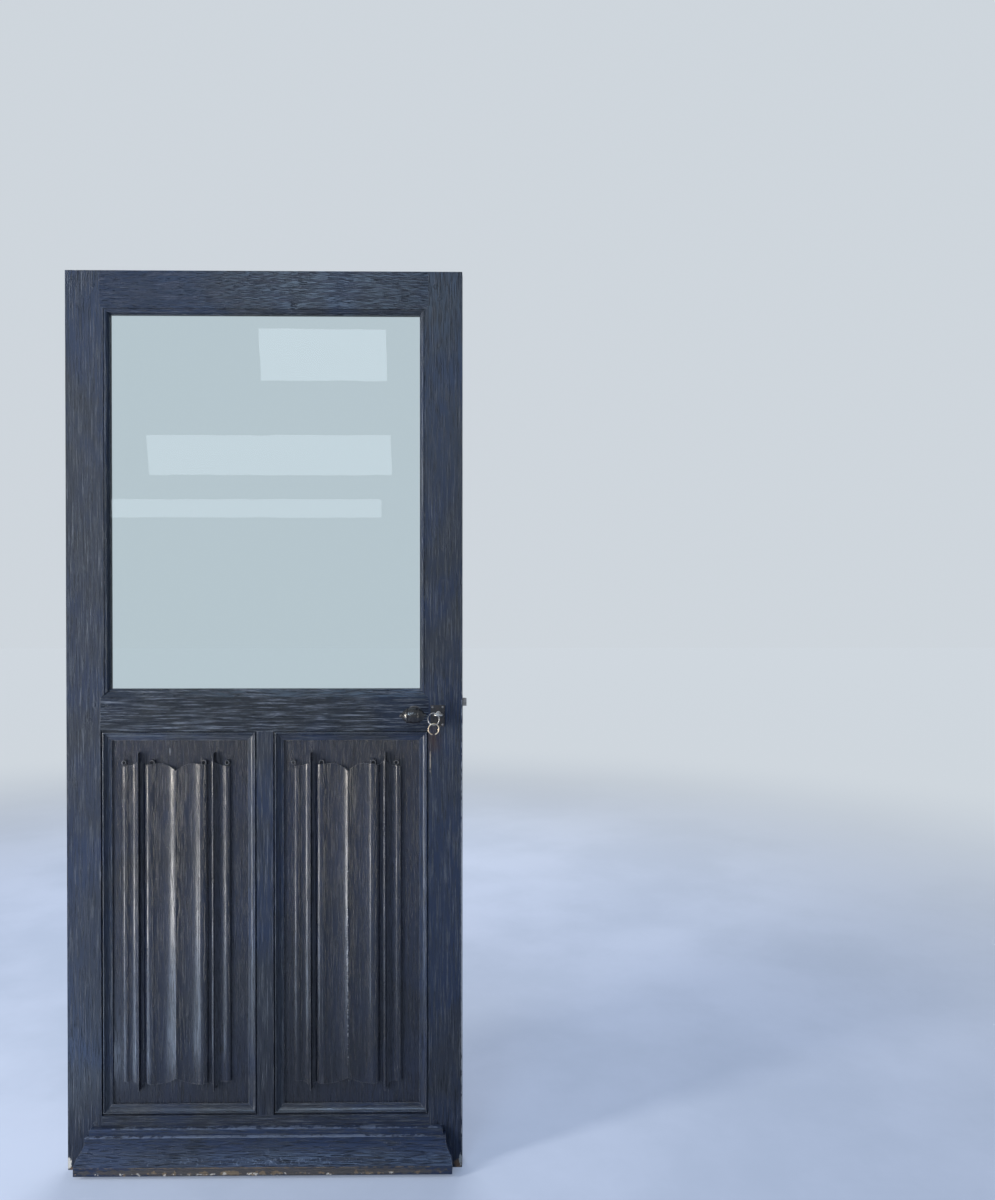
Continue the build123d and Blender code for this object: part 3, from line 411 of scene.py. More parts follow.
@dataclass(frozen=True)
class PaintedOak:
    """Satin blue-black paint over oak: dark pores, painted glints on the ridges, worn arrises with painted
    highlights.

    Args:
        name: The material's name.
        run: The way that the grain runs.
        cool: The bluer of the paint's two tones.
        warm: The greyer of them.
        ridge_glint: The colour on the grain's ridges, lighter than the paint as a painted glint where they
            catch the light.
        warm_reflection: The colour on a relief's crests in its upper part, a painted warm reflection.
        pit: The colour in the pores.
        arris_wear_and_highlight_colour: The colour on the arrises, part worn paint and part painted
            highlight.
        fineness: The number of the grain's ridges along a metre.
        crispness: The width of a ridge's edge, lower for a harder one.
        contrast: The strength of the colour on the ridges.
        crest_wear_and_highlight: The strength of the ridge colour all over a crest, part worn paint and part
            painted highlight.
        arris_wear_and_highlight: How much of the arrises is worn and given a painted highlight.
        gloss: The roughness between the ridges and on them.
        sheen: The strength of reflections.
        tint: Their colour.
        coat: The weight of a clear coat.
        coat_roughness: The roughness of that coat.
        relief: The depths at which a carved relief starts and is highest, where there is one.
        warm_reflection_heights: The heights between which the crests take the painted warm reflection.
        marks: Chips, splits and stains.
        drift_cells: The number of the slow noise's cells along a metre.
        drift_levels: The levels of that noise between which cool turns into warm.
        ridge_level: The level of the grain's noise at which a ridge starts.
        gloss_levels: The levels of the grain's noise between which the roughness changes.
        crest_wear_and_highlight_levels: The levels of the grain's noise between which a crest is lightened.
        pores_per_ridge: The number of pores across a ridge.
        pore_levels: The levels of the pores' noise at which a pore starts and is full.
        pore_strength: How dark a pore is.
        pore_depth: A pore's depth, as a share of a ridge's height.
        arris_width: The width of the arris colour on either side of an arris.
        corner_reach: How near a wall keeps an arris free of that colour.
        corner_levels: The levels of openness between which the arris colour starts.
        patch_cells: The number of cells along a metre in the patches that break up the arris colour.
        patch_levels: The levels of their noise at which a patch starts and is full, when the arrises' amount
            is 0.
        patch_gains: How far the arrises' amount lowers those levels.
        arris_wear_and_highlight_strength: The strength of the colour on the arrises, worn paint and painted
            highlight.
        bump_strength: The strength of the grain's bump.
        ridge_height: A ridge's height.
    """

    name: str
    run: Run
    cool: Colour = (0.016, 0.023, 0.047)
    warm: Colour = (0.020, 0.023, 0.032)
    # Light colour on the grain's ridges: a painted glint over the real grain.
    ridge_glint: Colour = (0.110, 0.124, 0.155)
    # Painted warm reflection on the upper crests.
    warm_reflection: Colour = (0.120, 0.108, 0.085)
    pit: Colour = (0.004, 0.005, 0.008)
    # Arris colour: worn paint, and also a painted highlight on the edges.
    arris_wear_and_highlight_colour: Colour = (0.26, 0.27, 0.29)
    fineness: float = 360.0
    crispness: float = 0.12
    contrast: float = 0.60
    # Crests lightened: part worn paint, part painted highlight.
    crest_wear_and_highlight: float = 0.06
    arris_wear_and_highlight: float = 0.5
    gloss: Span = (0.30, 0.44)
    sheen: float = 0.28
    tint: Colour = (0.70, 0.84, 1.0)
    coat: float = 0.0
    coat_roughness: float = 0.22
    relief: Span | None = None
    # Heights of the painted warm reflection on the crests.
    warm_reflection_heights: Span = (0.10, 0.55)
    marks: tuple[Mark, ...] = ()
    drift_cells: float = 3.0
    drift_levels: Span = (0.40, 0.62)
    ridge_level: float = 0.51
    gloss_levels: Span = (0.40, 0.68)
    crest_wear_and_highlight_levels: Span = (0.42, 0.62)
    pores_per_ridge: float = 2.0
    pore_levels: Span = (0.52, 0.66)
    pore_strength: float = 0.85
    pore_depth: float = 0.9
    arris_width: float = 0.0013
    corner_reach: float = 0.006
    corner_levels: Span = (0.50, 0.80)
    patch_cells: float = 60.0
    patch_levels: Span = (0.60, 0.66)
    patch_gains: Span = (0.22, 0.12)
    arris_wear_and_highlight_strength: float = 0.75
    bump_strength: float = 0.8
    ridge_height: float = 0.0012

    def crests_worn_and_lit(self, sheet: Sheet, grain: Socket, paint: Socket) -> tuple[Socket, Colour | Socket]:
        """Lighten the crests of a relief: part worn paint, part painted highlight, warmer higher up as a
        painted reflection.

        Args:
            sheet: The material's node tree.
            grain: The grain's noise.
            paint: The paint.

        Returns:
            The paint with its crests lightened, and the colour of the grain's ridges, a painted glint.
        """
        if not self.relief:
            return paint, self.ridge_glint
        # Painted highlight and warm reflection: crests picked out by depth, warmer higher up.
        crest = sheet.ramp(sheet.axis("Y"), *self.relief)
        high = sheet.product(crest, sheet.ramp(sheet.axis("Z"), *self.warm_reflection_heights))
        light = sheet.mix(high, self.ridge_glint, self.warm_reflection)
        # Crests tinted along the grain: part worn paint, part painted highlight.
        crest_share = sheet.product(crest, sheet.ramp(grain, *self.crest_wear_and_highlight_levels, high=self.crest_wear_and_highlight))
        return sheet.mix(crest_share, paint, light), light

    # Arrises: worn paint with a painted edge highlight.
    def arris_wear_and_highlight_mask(self, sheet: Sheet, plain: Socket) -> Socket:
        """Where the arrises are worn and carry a painted highlight.

        Args:
            sheet: The material's node tree.
            plain: The Object coordinates.

        Returns:
            The mask, from 0 to the strength of the arris colour.
        """
        patches = sheet.noise(plain, self.patch_cells, detail=5.0, roughness=0.7, distortion=0.6)
        levels = (level - gain * self.arris_wear_and_highlight for level, gain in zip(self.patch_levels, self.patch_gains))
        patchy = sheet.ramp(patches, *levels)
        clear = sheet.ramp(sheet.openness(self.corner_reach), *self.corner_levels)
        arris = sheet.product(sheet.edges(self.arris_width), clear)
        return sheet.product(sheet.product(arris, patchy), self.arris_wear_and_highlight_strength)

    def make(self) -> bpy.types.Material:
        """Build the material.

        Returns:
            The material.
        """
        sheet = Sheet(self.name)
        plain = sheet.coordinates()
        along = sheet.coordinates(self.run.value)
        grain = sheet.noise(along, self.fineness, detail=5.0, roughness=0.64, distortion=0.12)
        pores = sheet.noise(along, self.pores_per_ridge * self.fineness, detail=3.0, distortion=0.2)
        drift = sheet.noise(plain, self.drift_cells, detail=3.0, distortion=0.6)
        ridges = sheet.ramp(grain, self.ridge_level, self.ridge_level + self.crispness)
        pits = sheet.ramp(pores, *self.pore_levels)

        paint = sheet.mix(sheet.ramp(drift, *self.drift_levels), self.cool, self.warm)
        paint, light = self.crests_worn_and_lit(sheet, grain, paint)
        # Painted glint: the grain's ridges lightened towards the glint colour.
        paint = sheet.mix(sheet.product(ridges, self.contrast), paint, light)
        paint = sheet.mix(sheet.product(pits, self.pore_strength), paint, self.pit)
        # Worn arrises, lightened also as a painted edge highlight.
        paint = sheet.mix(self.arris_wear_and_highlight_mask(sheet, plain), paint, self.arris_wear_and_highlight_colour)
        for mark in self.marks:
            paint = sheet.mix(mark.mask(sheet), paint, mark.colour)
        sheet.join("Base Color", paint)
        sheet.join("Roughness", sheet.ramp(grain, *self.gloss_levels, *self.gloss))
        sheet.set(IOR=PAINT_IOR, Specular_IOR_Level=self.sheen, Specular_Tint=self.tint)
        sheet.set(Coat_Weight=self.coat, Coat_Roughness=self.coat_roughness)
        height = sheet.math("SUBTRACT", ridges, sheet.product(pits, self.pore_depth))
        sheet.bump(height, self.bump_strength, self.ridge_height)
        return sheet.material


@dataclass(frozen=True)
class Metal:
    """A metal or a paint on metal, with a cloudy tarnish and worn edges.

    Args:
        name: The material's name.
        face: Its colour where it is clean.
        tarnish: Its colour where it is tarnished.
        edge: Its colour on worn edges, which on the keyhole plate is also a painted edge highlight.
        metallic: How metallic it is.
        roughness: Its roughness where it is clean and where it is tarnished.
        cloud: The number of tarnish clouds along a metre.
        grit: The number of fine specks across a cloud.
        tarnish_levels: The levels of the clouds' noise at which tarnish starts and is full.
        gloss_levels: The levels of that noise between which the roughness changes.
        worn_levels: The levels of the specks' noise at which a worn edge starts and is full.
        edge_radius: The width of a worn edge.
        relief: The height of its unevenness.
        hammer: The depth of hammered dents, which take the unevenness's place.
        dents: The number of those dents along a metre.
        bump_strengths: The strength of the unevenness and of the dents.
    """

    name: str
    face: Colour
    tarnish: Colour
    edge: Colour
    metallic: float = 1.0
    roughness: Span = (0.3, 0.5)
    cloud: float = 160.0
    grit: float = 6.0
    tarnish_levels: Span = (0.40, 0.66)
    gloss_levels: Span = (0.35, 0.70)
    worn_levels: Span = (0.35, 0.6)
    edge_radius: float = 0.0005
    relief: float = 0.0002
    hammer: float = 0.0
    dents: float = 210.0
    bump_strengths: Span = (0.3, 0.7)

    def make(self) -> bpy.types.Material:
        """Build the material.

        Returns:
            The material.
        """
        sheet = Sheet(self.name)
        plain = sheet.coordinates()
        cloud = sheet.noise(plain, self.cloud, detail=5.0, roughness=0.62, distortion=0.4)
        specks = sheet.noise(plain, self.cloud * self.grit, detail=3.0)
        tone = sheet.mix(sheet.ramp(cloud, *self.tarnish_levels), self.face, self.tarnish)
        # Worn edges; on the keyhole plate their light colour is also a painted edge highlight.
        worn = sheet.product(sheet.edges(self.edge_radius), sheet.ramp(specks, *self.worn_levels))
        sheet.join("Base Color", sheet.mix(worn, tone, self.edge))
        sheet.join("Roughness", sheet.ramp(cloud, *self.gloss_levels, *self.roughness))
        sheet.set(Metallic=self.metallic)
        uneven, hammered = self.bump_strengths
        if self.hammer:
            dents = sheet.add("TexVoronoi", {"feature": "SMOOTH_F1"}, {"Vector": plain, "Scale": self.dents})
            sheet.bump(dents.outputs["Distance"], hammered, self.hammer)
        else:
            sheet.bump(sheet.math("ADD", cloud, sheet.product(specks, 0.5)), uneven, self.relief)
        return sheet.material


@dataclass(frozen=True)
class ClearGlass:
    """Old window glass with a faint ripple and smears.

    Args:
        name: The material's name.
        tint: The colour of the light that it lets through.
        smears: The roughness of its smears.
        smear_levels: The levels of their noise at which a smear starts and is full.
        ripple: The height of its ripple.
        ripple_strength: The strength of the ripple's bump.
    """

    name: str
    tint: Colour = (0.74, 0.83, 0.84)
    smears: float = 0.05
    smear_levels: Span = (0.55, 0.85)
    ripple: float = 0.002
    ripple_strength: float = 0.05

    def make(self) -> bpy.types.Material:
        """Build the material.

        Returns:
            The material.
        """
        sheet = Sheet(self.name)
        plain = sheet.coordinates()
        ripple = sheet.noise(plain, 5.0, detail=2.0, roughness=0.4, distortion=0.3)
        smear = sheet.noise(plain, 14.0, detail=5.0, roughness=0.7, distortion=1.2)
        sheet.set(Base_Color=self.tint, Transmission_Weight=1.0, IOR=GLASS_IOR)
        sheet.join("Roughness", sheet.ramp(smear, *self.smear_levels, high=self.smears))
        sheet.bump(ripple, self.ripple_strength, self.ripple)
        return sheet.material


def dress(nodes: Nodes, names: list[str], finish: PaintedOak | Metal | ClearGlass) -> bpy.types.Material:
    """Give nodes a finish.

    Args:
        nodes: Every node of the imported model.
        names: The nodes' names.
        finish: The finish.

    Returns:
        The finish's material.
    """
    material = finish.make()
    for name in names:
        for slot in nodes[name].material_slots:
            slot.material = material
    log.info("%s: %s", material.name, ", ".join(names))
    return material


@dataclass
class FramedLeaf:
    """Stiles, rails, muntin and pegs of the leaf.

    Args:
        hinge_stile_marks: Chips at the foot of the hinge stile.
        lock_stile_marks: Chips at the lock stile's foot, a stain and a scratch by the key rings, and its edge
            worn by rubbing.
    """

    hinge_stile_marks: tuple[Mark, ...] = (
        Mark((0.004, -0.050, -0.226), (0.006, 0.03, 0.016), WHITE_CHIP, 0.95, 0.35),
        Mark((0.020, -0.050, -0.237), (0.020, 0.03, 0.004), BROWN_WOOD, 0.8),
    )
    lock_stile_marks: tuple[Mark, ...] = (
        Mark((0.893, -0.050, -0.231), (0.012, 0.03, 0.010), BROWN_WOOD, 0.9, 0.6),
        Mark((0.898, -0.050, -0.222), (0.004, 0.03, 0.014), WHITE_CHIP, 0.8, 0.6),
        Mark((0.834, -0.052, 0.745), (0.030, 0.02, 0.055), RING_STAIN, 0.8, 0.3, 60.0, soft=1.0),
        Mark((0.8285, -0.052, 0.694), (0.0014, 0.02, 0.026), SCRATCH, 0.7, 0.5),
        Mark((0.9005, -0.050, 0.30), (0.0016, 0.03, 0.55), RUBBED_EDGE, 0.8, 0.6, 90.0),
    )

    def dress(self, nodes: Nodes) -> None:
        """Paint the wood along its grain.

        Args:
            nodes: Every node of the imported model.
        """
        hinge_stile = PaintedOak("painted hinge stile", Run.UPRIGHT, marks=self.hinge_stile_marks)
        lock_stile = PaintedOak("painted lock stile", Run.UPRIGHT, contrast=0.45, marks=self.lock_stile_marks)
        # The top rail's light ridge colour is a painted glint on its grain.
        top_rail = PaintedOak(
            "short-grained top rail", Run.LEVEL_SHORT, cool=(0.014, 0.021, 0.044), ridge_glint=(0.11, 0.13, 0.19),
            fineness=430.0, contrast=0.5, gloss=(0.24, 0.38),
        )
        # The lock rail's light ridge colour is a painted glint on its open grain.
        lock_rail = PaintedOak(
            "open-grained lock rail", Run.LEVEL, cool=(0.012, 0.017, 0.032), warm=(0.016, 0.018, 0.022),
            ridge_glint=(0.13, 0.15, 0.19), fineness=330.0, crispness=0.07, contrast=0.85, gloss=(0.22, 0.40),
        )
        dress(nodes, ["muntin"], PaintedOak("painted muntin", Run.UPRIGHT))
        dress(nodes, ["hinge_stile"], hinge_stile)
        dress(nodes, ["lock_stile"], lock_stile)
        dress(nodes, ["bottom_rail"], PaintedOak("painted bottom rail", Run.LEVEL, crispness=0.09))
        dress(nodes, ["top_rail"], top_rail)
        dress(nodes, ["lock_rail"], lock_rail)
        dress(nodes, ["frame_pegs"], PaintedOak("painted peg ends", Run.UPRIGHT, arris_wear_and_highlight=0.8))


@dataclass
class Panels:
    """The two linenfold panels, the curls at the heads of their rolls and the mouldings round them.

    Args:
        ground: The depth of the panels' ground.
        crest: The depth of the folds' crests.
        offset: How far the lock side's panel lies from the hinge side's.
        roll_middles: The middle of each roll that ends in a curl, on the hinge side's panel.
        curl_radii: The radius of each curl.
        curl_level: The height of the curls' middles.
        curl_wire: Half the width of a curl's wire.
        curl_height: How far a curl stands out from the ground.
        wire_sides: The number of sides round a curl's wire.
        curl_steps: The number of steps round a curl.
        merge_distance: How near points are merged.
        hinge_side_marks: Splits, a knot and a chip on the hinge side's panel.
        lock_side_marks: A split and chips along the middle arris on the lock side's panel.
    """

    ground: float = -0.0393
    crest: float = -0.0510
    offset: float = 0.3865
    roll_middles: tuple[float, ...] = (0.129, 0.193, 0.311, 0.364)
    curl_radii: tuple[float, ...] = (0.0042, 0.0052, 0.0052, 0.0046)
    curl_level: float = 0.6905
    curl_wire: float = 0.0021
    curl_height: float = 0.0080
    wire_sides: int = 10
    curl_steps: int = 24
    merge_distance: float = 0.00002
    hinge_side_marks: tuple[Mark, ...] = (
        Mark((0.2565, -0.040, -0.072), (0.0016, 0.02, 0.030), SPLIT, 1.0, 0.25),
        Mark((0.2610, -0.040, -0.068), (0.0014, 0.02, 0.022), SPLIT, 1.0, 0.25),
        Mark((0.3486, -0.046, 0.030), (0.007, 0.02, 0.009), KNOT, 0.9, 0.3),
        Mark((0.2316, -0.040, 0.716), (0.0014, 0.02, 0.009), GREY_CHIP, 0.6, 0.5),
    )
    lock_side_marks: tuple[Mark, ...] = (
        Mark((0.6515, -0.040, 0.708), (0.0013, 0.02, 0.026), SPLIT, 1.0, 0.25),
        Mark((0.6400, -0.049, 0.17), (0.0009, 0.02, 0.22), PALE_CHIP, 0.8, 1.3, 130.0, 0.42),
        Mark((0.6390, -0.047, 0.22), (0.0030, 0.02, 0.10), PALE_CHIP, 0.5, 2.2, 300.0, 0.40),
    )

    def curl(self, mesh: bmesh.types.BMesh, middle: float, radius: float) -> None:
        """Add one curl to a mesh: a wire spun round and drawn out of the ground.

        Args:
            mesh: The mesh.
            middle: The curl's middle across the leaf.
            radius: Its radius.
        """
        rim = bmesh.ops.create_circle(mesh, segments=self.wire_sides, radius=self.curl_wire)["verts"]
        bmesh.ops.translate(mesh, vec=(radius, 0.0, 0.0), verts=rim)
        edges = list({edge for vert in rim for edge in vert.link_edges})
        before = set(mesh.verts) - set(rim)
        bmesh.ops.spin(
            mesh, geom=rim + edges, cent=(0.0, 0.0, 0.0), axis=(0.0, 1.0, 0.0), dvec=(0.0, 0.0, 0.0),
            angle=2.0 * math.pi, steps=self.curl_steps, use_merge=True, use_duplicate=False,
        )
        made = [vert for vert in mesh.verts if vert not in before]
        bmesh.ops.scale(mesh, vec=(1.0, self.curl_height / self.curl_wire, 1.0), verts=made)
        bmesh.ops.translate(mesh, vec=(middle, self.ground, self.curl_level), verts=made)

    def curls(self, side: Side, material: bpy.types.Material) -> None:
        """Carve the little curls at the heads of a panel's rolls.

        Args:
            side: The panel.
            material: The panel's paint.
        """
        mesh = bmesh.new()
        shift = self.offset if side is Side.LOCK else 0.0
        for middle, radius in zip(self.roll_middles, self.curl_radii):
            self.curl(mesh, middle + shift, radius)
        bmesh.ops.remove_doubles(mesh, verts=mesh.verts, dist=self.merge_distance)
        bmesh.ops.recalc_face_normals(mesh, faces=mesh.faces)
        for face in mesh.faces:
            face.smooth = True
        piece = add_mesh(f"{side.value}_curls", mesh, material)
        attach(piece, "leaf")
        log.info("%s: %d curls", piece.name, len(self.roll_middles))

    def dress(self, nodes: Nodes) -> None:
        """Paint the panels and their mouldings.

        Args:
            nodes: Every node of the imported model.
        """
        marks = {Side.HINGE: self.hinge_side_marks, Side.LOCK: self.lock_side_marks}
        for side in Side:
            # The crests take the painted highlight and warm reflection through relief.
            carved = PaintedOak(
                f"carved painted oak, {side.value.replace('_', ' ')}", Run.UPRIGHT,
                relief=(self.ground, self.crest), cool=(0.007, 0.011, 0.026), warm=(0.007, 0.009, 0.016),
                contrast=0.20, arris_wear_and_highlight=1.3, gloss=(0.20, 0.31), sheen=0.36, tint=(1.0, 1.0, 1.0), coat=0.40,
                marks=marks[side],
            )
            self.curls(side, dress(nodes, [f"{side.value}_panel"], carved))
        for way, run, ends in (
            ("upright", Run.UPRIGHT, ("hinge_edge", "lock_edge")),
            ("level", Run.LEVEL, ("head", "foot")),
        ):
            # The mouldings' arrises take more of the worn colour and painted highlight.
            moulding = PaintedOak(f"{way} painted moulding", run, arris_wear_and_highlight=1.6, gloss=(0.24, 0.36), coat=0.3)
            dress(nodes, [f"{side.value}_moulding_{end}" for side in Side for end in ends], moulding)


@dataclass
class Glazing:
    """The pane and the beads that hold it from the inside.

    Args:
        bead_ends: The bead at each edge of the pane.
    """

    bead_ends: tuple[str, ...] = ("foot", "lock_edge", "head", "hinge_edge")

    def dress(self, nodes: Nodes) -> None:
        """Glaze the leaf.

        Args:
            nodes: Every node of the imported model.
        """
        dress(nodes, ["glass_pane"], ClearGlass("window glass"))
        beads = [f"glazing_bead_{end}" for end in self.bead_ends]
        dress(nodes, beads, PaintedOak("painted beads", Run.UPRIGHT, arris_wear_and_highlight=0.4))


@dataclass
class Weatherboard:
    """The moulded board that throws rain off the leaf's foot.

    Args:
        marks: The nose worn to the wood with its flecks, painted highlights along the two steps and a painted
            sky sheen over the crazed lower face.
    """

    marks: tuple[Mark, ...] = (
        Mark((0.45, -0.098, -0.220), (0.46, 0.010, 0.0095), GREY_NOSE, 0.9, 0.3, 90.0),
        Mark((0.45, -0.098, -0.211), (0.44, 0.010, 0.0012), OCHRE_WOOD, 0.6, 0.8, 70.0),
        Mark((0.45, -0.099, -0.223), (0.44, 0.010, 0.0050), OCHRE_WOOD, 0.8, 2.0, 55.0, 0.40),
        Mark((0.38, -0.099, -0.225), (0.36, 0.010, 0.0030), PRIMER, 0.9, 2.2, 70.0, 0.40),
        # Painted highlights along the two steps, then a painted sky sheen over the crazed lower face
        Mark((0.45, -0.066, -0.1415), (0.46, 0.02, 0.0008), PAINTED_SKY_SHEEN, 0.5, 1.0, 60.0, 0.46),
        Mark((0.45, -0.072, -0.1565), (0.46, 0.02, 0.0010), PAINTED_SKY_SHEEN, 0.8, 0.7, 60.0, 0.50),
        Mark((0.45, -0.090, -0.201), (0.42, 0.03, 0.0090), PAINTED_SKY_SHEEN, 0.5, 2.2, 230.0, 0.34),
    )

    def dress(self, nodes: Nodes) -> None:
        """Paint the board.

        Args:
            nodes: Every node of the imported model.
        """
        # The board's paint is bluer than the frame's: the extra blue is a painted sky sheen.
        board = PaintedOak(
            "painted weatherboard", Run.LEVEL, cool=(0.017, 0.027, 0.062), warm=(0.020, 0.027, 0.048),
            contrast=0.35, arris_wear_and_highlight=1.3, gloss=(0.32, 0.46), marks=self.marks,
        )
        dress(nodes, ["weatherboard"], board)


@dataclass
class Ironmongery:
    """Hinges, rim lock, bolts and screws.

    Args:
        black_iron: The finish of the hinges, the lock's case and the inside rose.
        dull_steel: The finish of the bolts, the moving parts and the screws.
    """

    black_iron: Metal = Metal(
        "black iron", face=(0.022, 0.022, 0.025), tarnish=(0.035, 0.030, 0.027), edge=(0.20, 0.20, 0.21),
        metallic=0.4, roughness=(0.38, 0.6),
    )
    dull_steel: Metal = Metal(
        "dull steel", face=(0.36, 0.36, 0.37), tarnish=(0.22, 0.21, 0.20), edge=(0.6, 0.6, 0.6)
    )

    def dress(self, nodes: Nodes) -> None:
        """Finish the ironwork.

        Args:
            nodes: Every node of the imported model.
        """
        hinges = ["lower_hinge", "middle_hinge", "upper_hinge"]
        moving = ["latch_bolt", "dead_bolt", "follower", "spindle", "knob_pins"]
        screws = ["hinge_screws", "lock_case_screws", "weatherboard_screws"]
        dress(nodes, hinges + ["lock_case", "knob_rose"], self.black_iron)
        dress(nodes, moving + screws, self.dull_steel)


@dataclass
class KnobsAndKey:
    """Olive knobs, keyhole plate, key and its rings.

    Args:
        knob: The finish of both knobs.
        plate: The finish of the keyhole plate.
        screws: The finish of its screws.
        key: The finish of the key.
        steel_ring: The finish of the ring in the key's bow.
        brass_ring: The finish of the ring that hangs on it.
    """

    knob: Metal = Metal(
        "glossy black knob", face=(0.010, 0.010, 0.012), tarnish=(0.018, 0.018, 0.020),
        edge=(0.05, 0.05, 0.055), metallic=0.0, roughness=(0.08, 0.2), hammer=0.0018,
    )
    # The plate's light edge colour: worn rim and painted edge highlight.
    plate: Metal = Metal(
        "old plate iron", face=(0.022, 0.023, 0.028), tarnish=(0.045, 0.04, 0.04), edge=(0.34, 0.34, 0.36),
        metallic=0.4, roughness=(0.35, 0.6),
    )
    screws: Metal = Metal(
        "plate screws", face=(0.26, 0.26, 0.27), tarnish=(0.14, 0.13, 0.13), edge=(0.5, 0.5, 0.5),
        metallic=0.8,
    )
    key: Metal = Metal(
        "key steel", face=(0.50, 0.50, 0.50), tarnish=(0.25, 0.23, 0.21), edge=(0.75, 0.75, 0.75),
        roughness=(0.25, 0.45),
    )
    steel_ring: Metal = Metal(
        "ring steel", face=(0.42, 0.41, 0.41), tarnish=(0.26, 0.25, 0.24), edge=(0.6, 0.6, 0.6),
        roughness=(0.25, 0.45),
    )
    brass_ring: Metal = Metal(
        "ring brass", face=(0.86, 0.74, 0.56), tarnish=(0.62, 0.48, 0.34), edge=(0.92, 0.84, 0.70),
        roughness=(0.25, 0.45),
    )

    def dress(self, nodes: Nodes) -> None:
        """Finish the knobs, the plate and the key.

        Args:
            nodes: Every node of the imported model.
        """
        dress(nodes, ["outer_knob", "inner_knob"], self.knob)
        dress(nodes, ["keyhole_plate"], self.plate)
        dress(nodes, ["keyhole_plate_screws"], self.screws)
        dress(nodes, ["key"], self.key)
        dress(nodes, ["key_ring_steel"], self.steel_ring)
        dress(nodes, ["key_ring_brass"], self.brass_ring)


@dataclass(frozen=True)
class Lamp:
    """A soft rectangular lamp that the camera doesn't see.

    Args:
        name: The lamp's name.
        place: Where it hangs.
        aim: What it shines at.
        size: Its width and height.
        power: Its power, in watts.
        colour: Its colour.
        seen: Whether glass and metal show it.
    """

    name: str
    place: Place
    aim: Place
    size: Span
    power: float
    colour: Colour
    seen: bool = True

    def hang(self) -> None:
        """Put the lamp in the scene."""
        data = bpy.data.lights.new(self.name, "AREA")
        data.shape = "RECTANGLE"
        data.size, data.size_y = self.size
        data.energy = self.power
        data.color = self.colour
        lamp = add_object(self.name, data)
        lamp.location = self.place
        lamp.rotation_euler = (Vector(self.aim) - Vector(self.place)).to_track_quat("-Z", "Y").to_euler()
        lamp.visible_camera = False
        lamp.visible_transmission = False
        lamp.visible_glossy = self.seen


def ground_card(
    name: str, across: float, forward: float, length: float, power: float, colour: Colour
) -> Lamp:
    """A card of bright ground in front of the door, which the lower folds reflect.

    Args:
        name: The card's name.
        across: Its middle along X.
        forward: Its middle along Y.
        length: Its length.
        power: Its power, in watts.
        colour: Its colour.

    Returns:
        The card, which shines up and lies along the way to the door.
    """
    aim = (across + CARD_LEAN[0], forward + CARD_LEAN[1], CARD_LEVEL + 1.0)
    return Lamp(name, (across, forward, CARD_LEVEL), aim, (CARD_WIDTH, length), power, colour)


def high_window(name: str, across: float, height: float, size: Span, power: float) -> Lamp:
    """A window high behind the camera, which the glass and the top rail reflect.

    Args:
        name: The window's name.
        across: Its middle along X.
        height: Its middle along Z.
        size: Its width and height.
        power: Its power, in watts.

    Returns:
        The window.
    """
    place, aim = (across, -WINDOW_DISTANCE, height), (across, 0.0, height - WINDOW_DROP)
    return Lamp(name, place, aim, size, power, WINDOW_LIGHT)


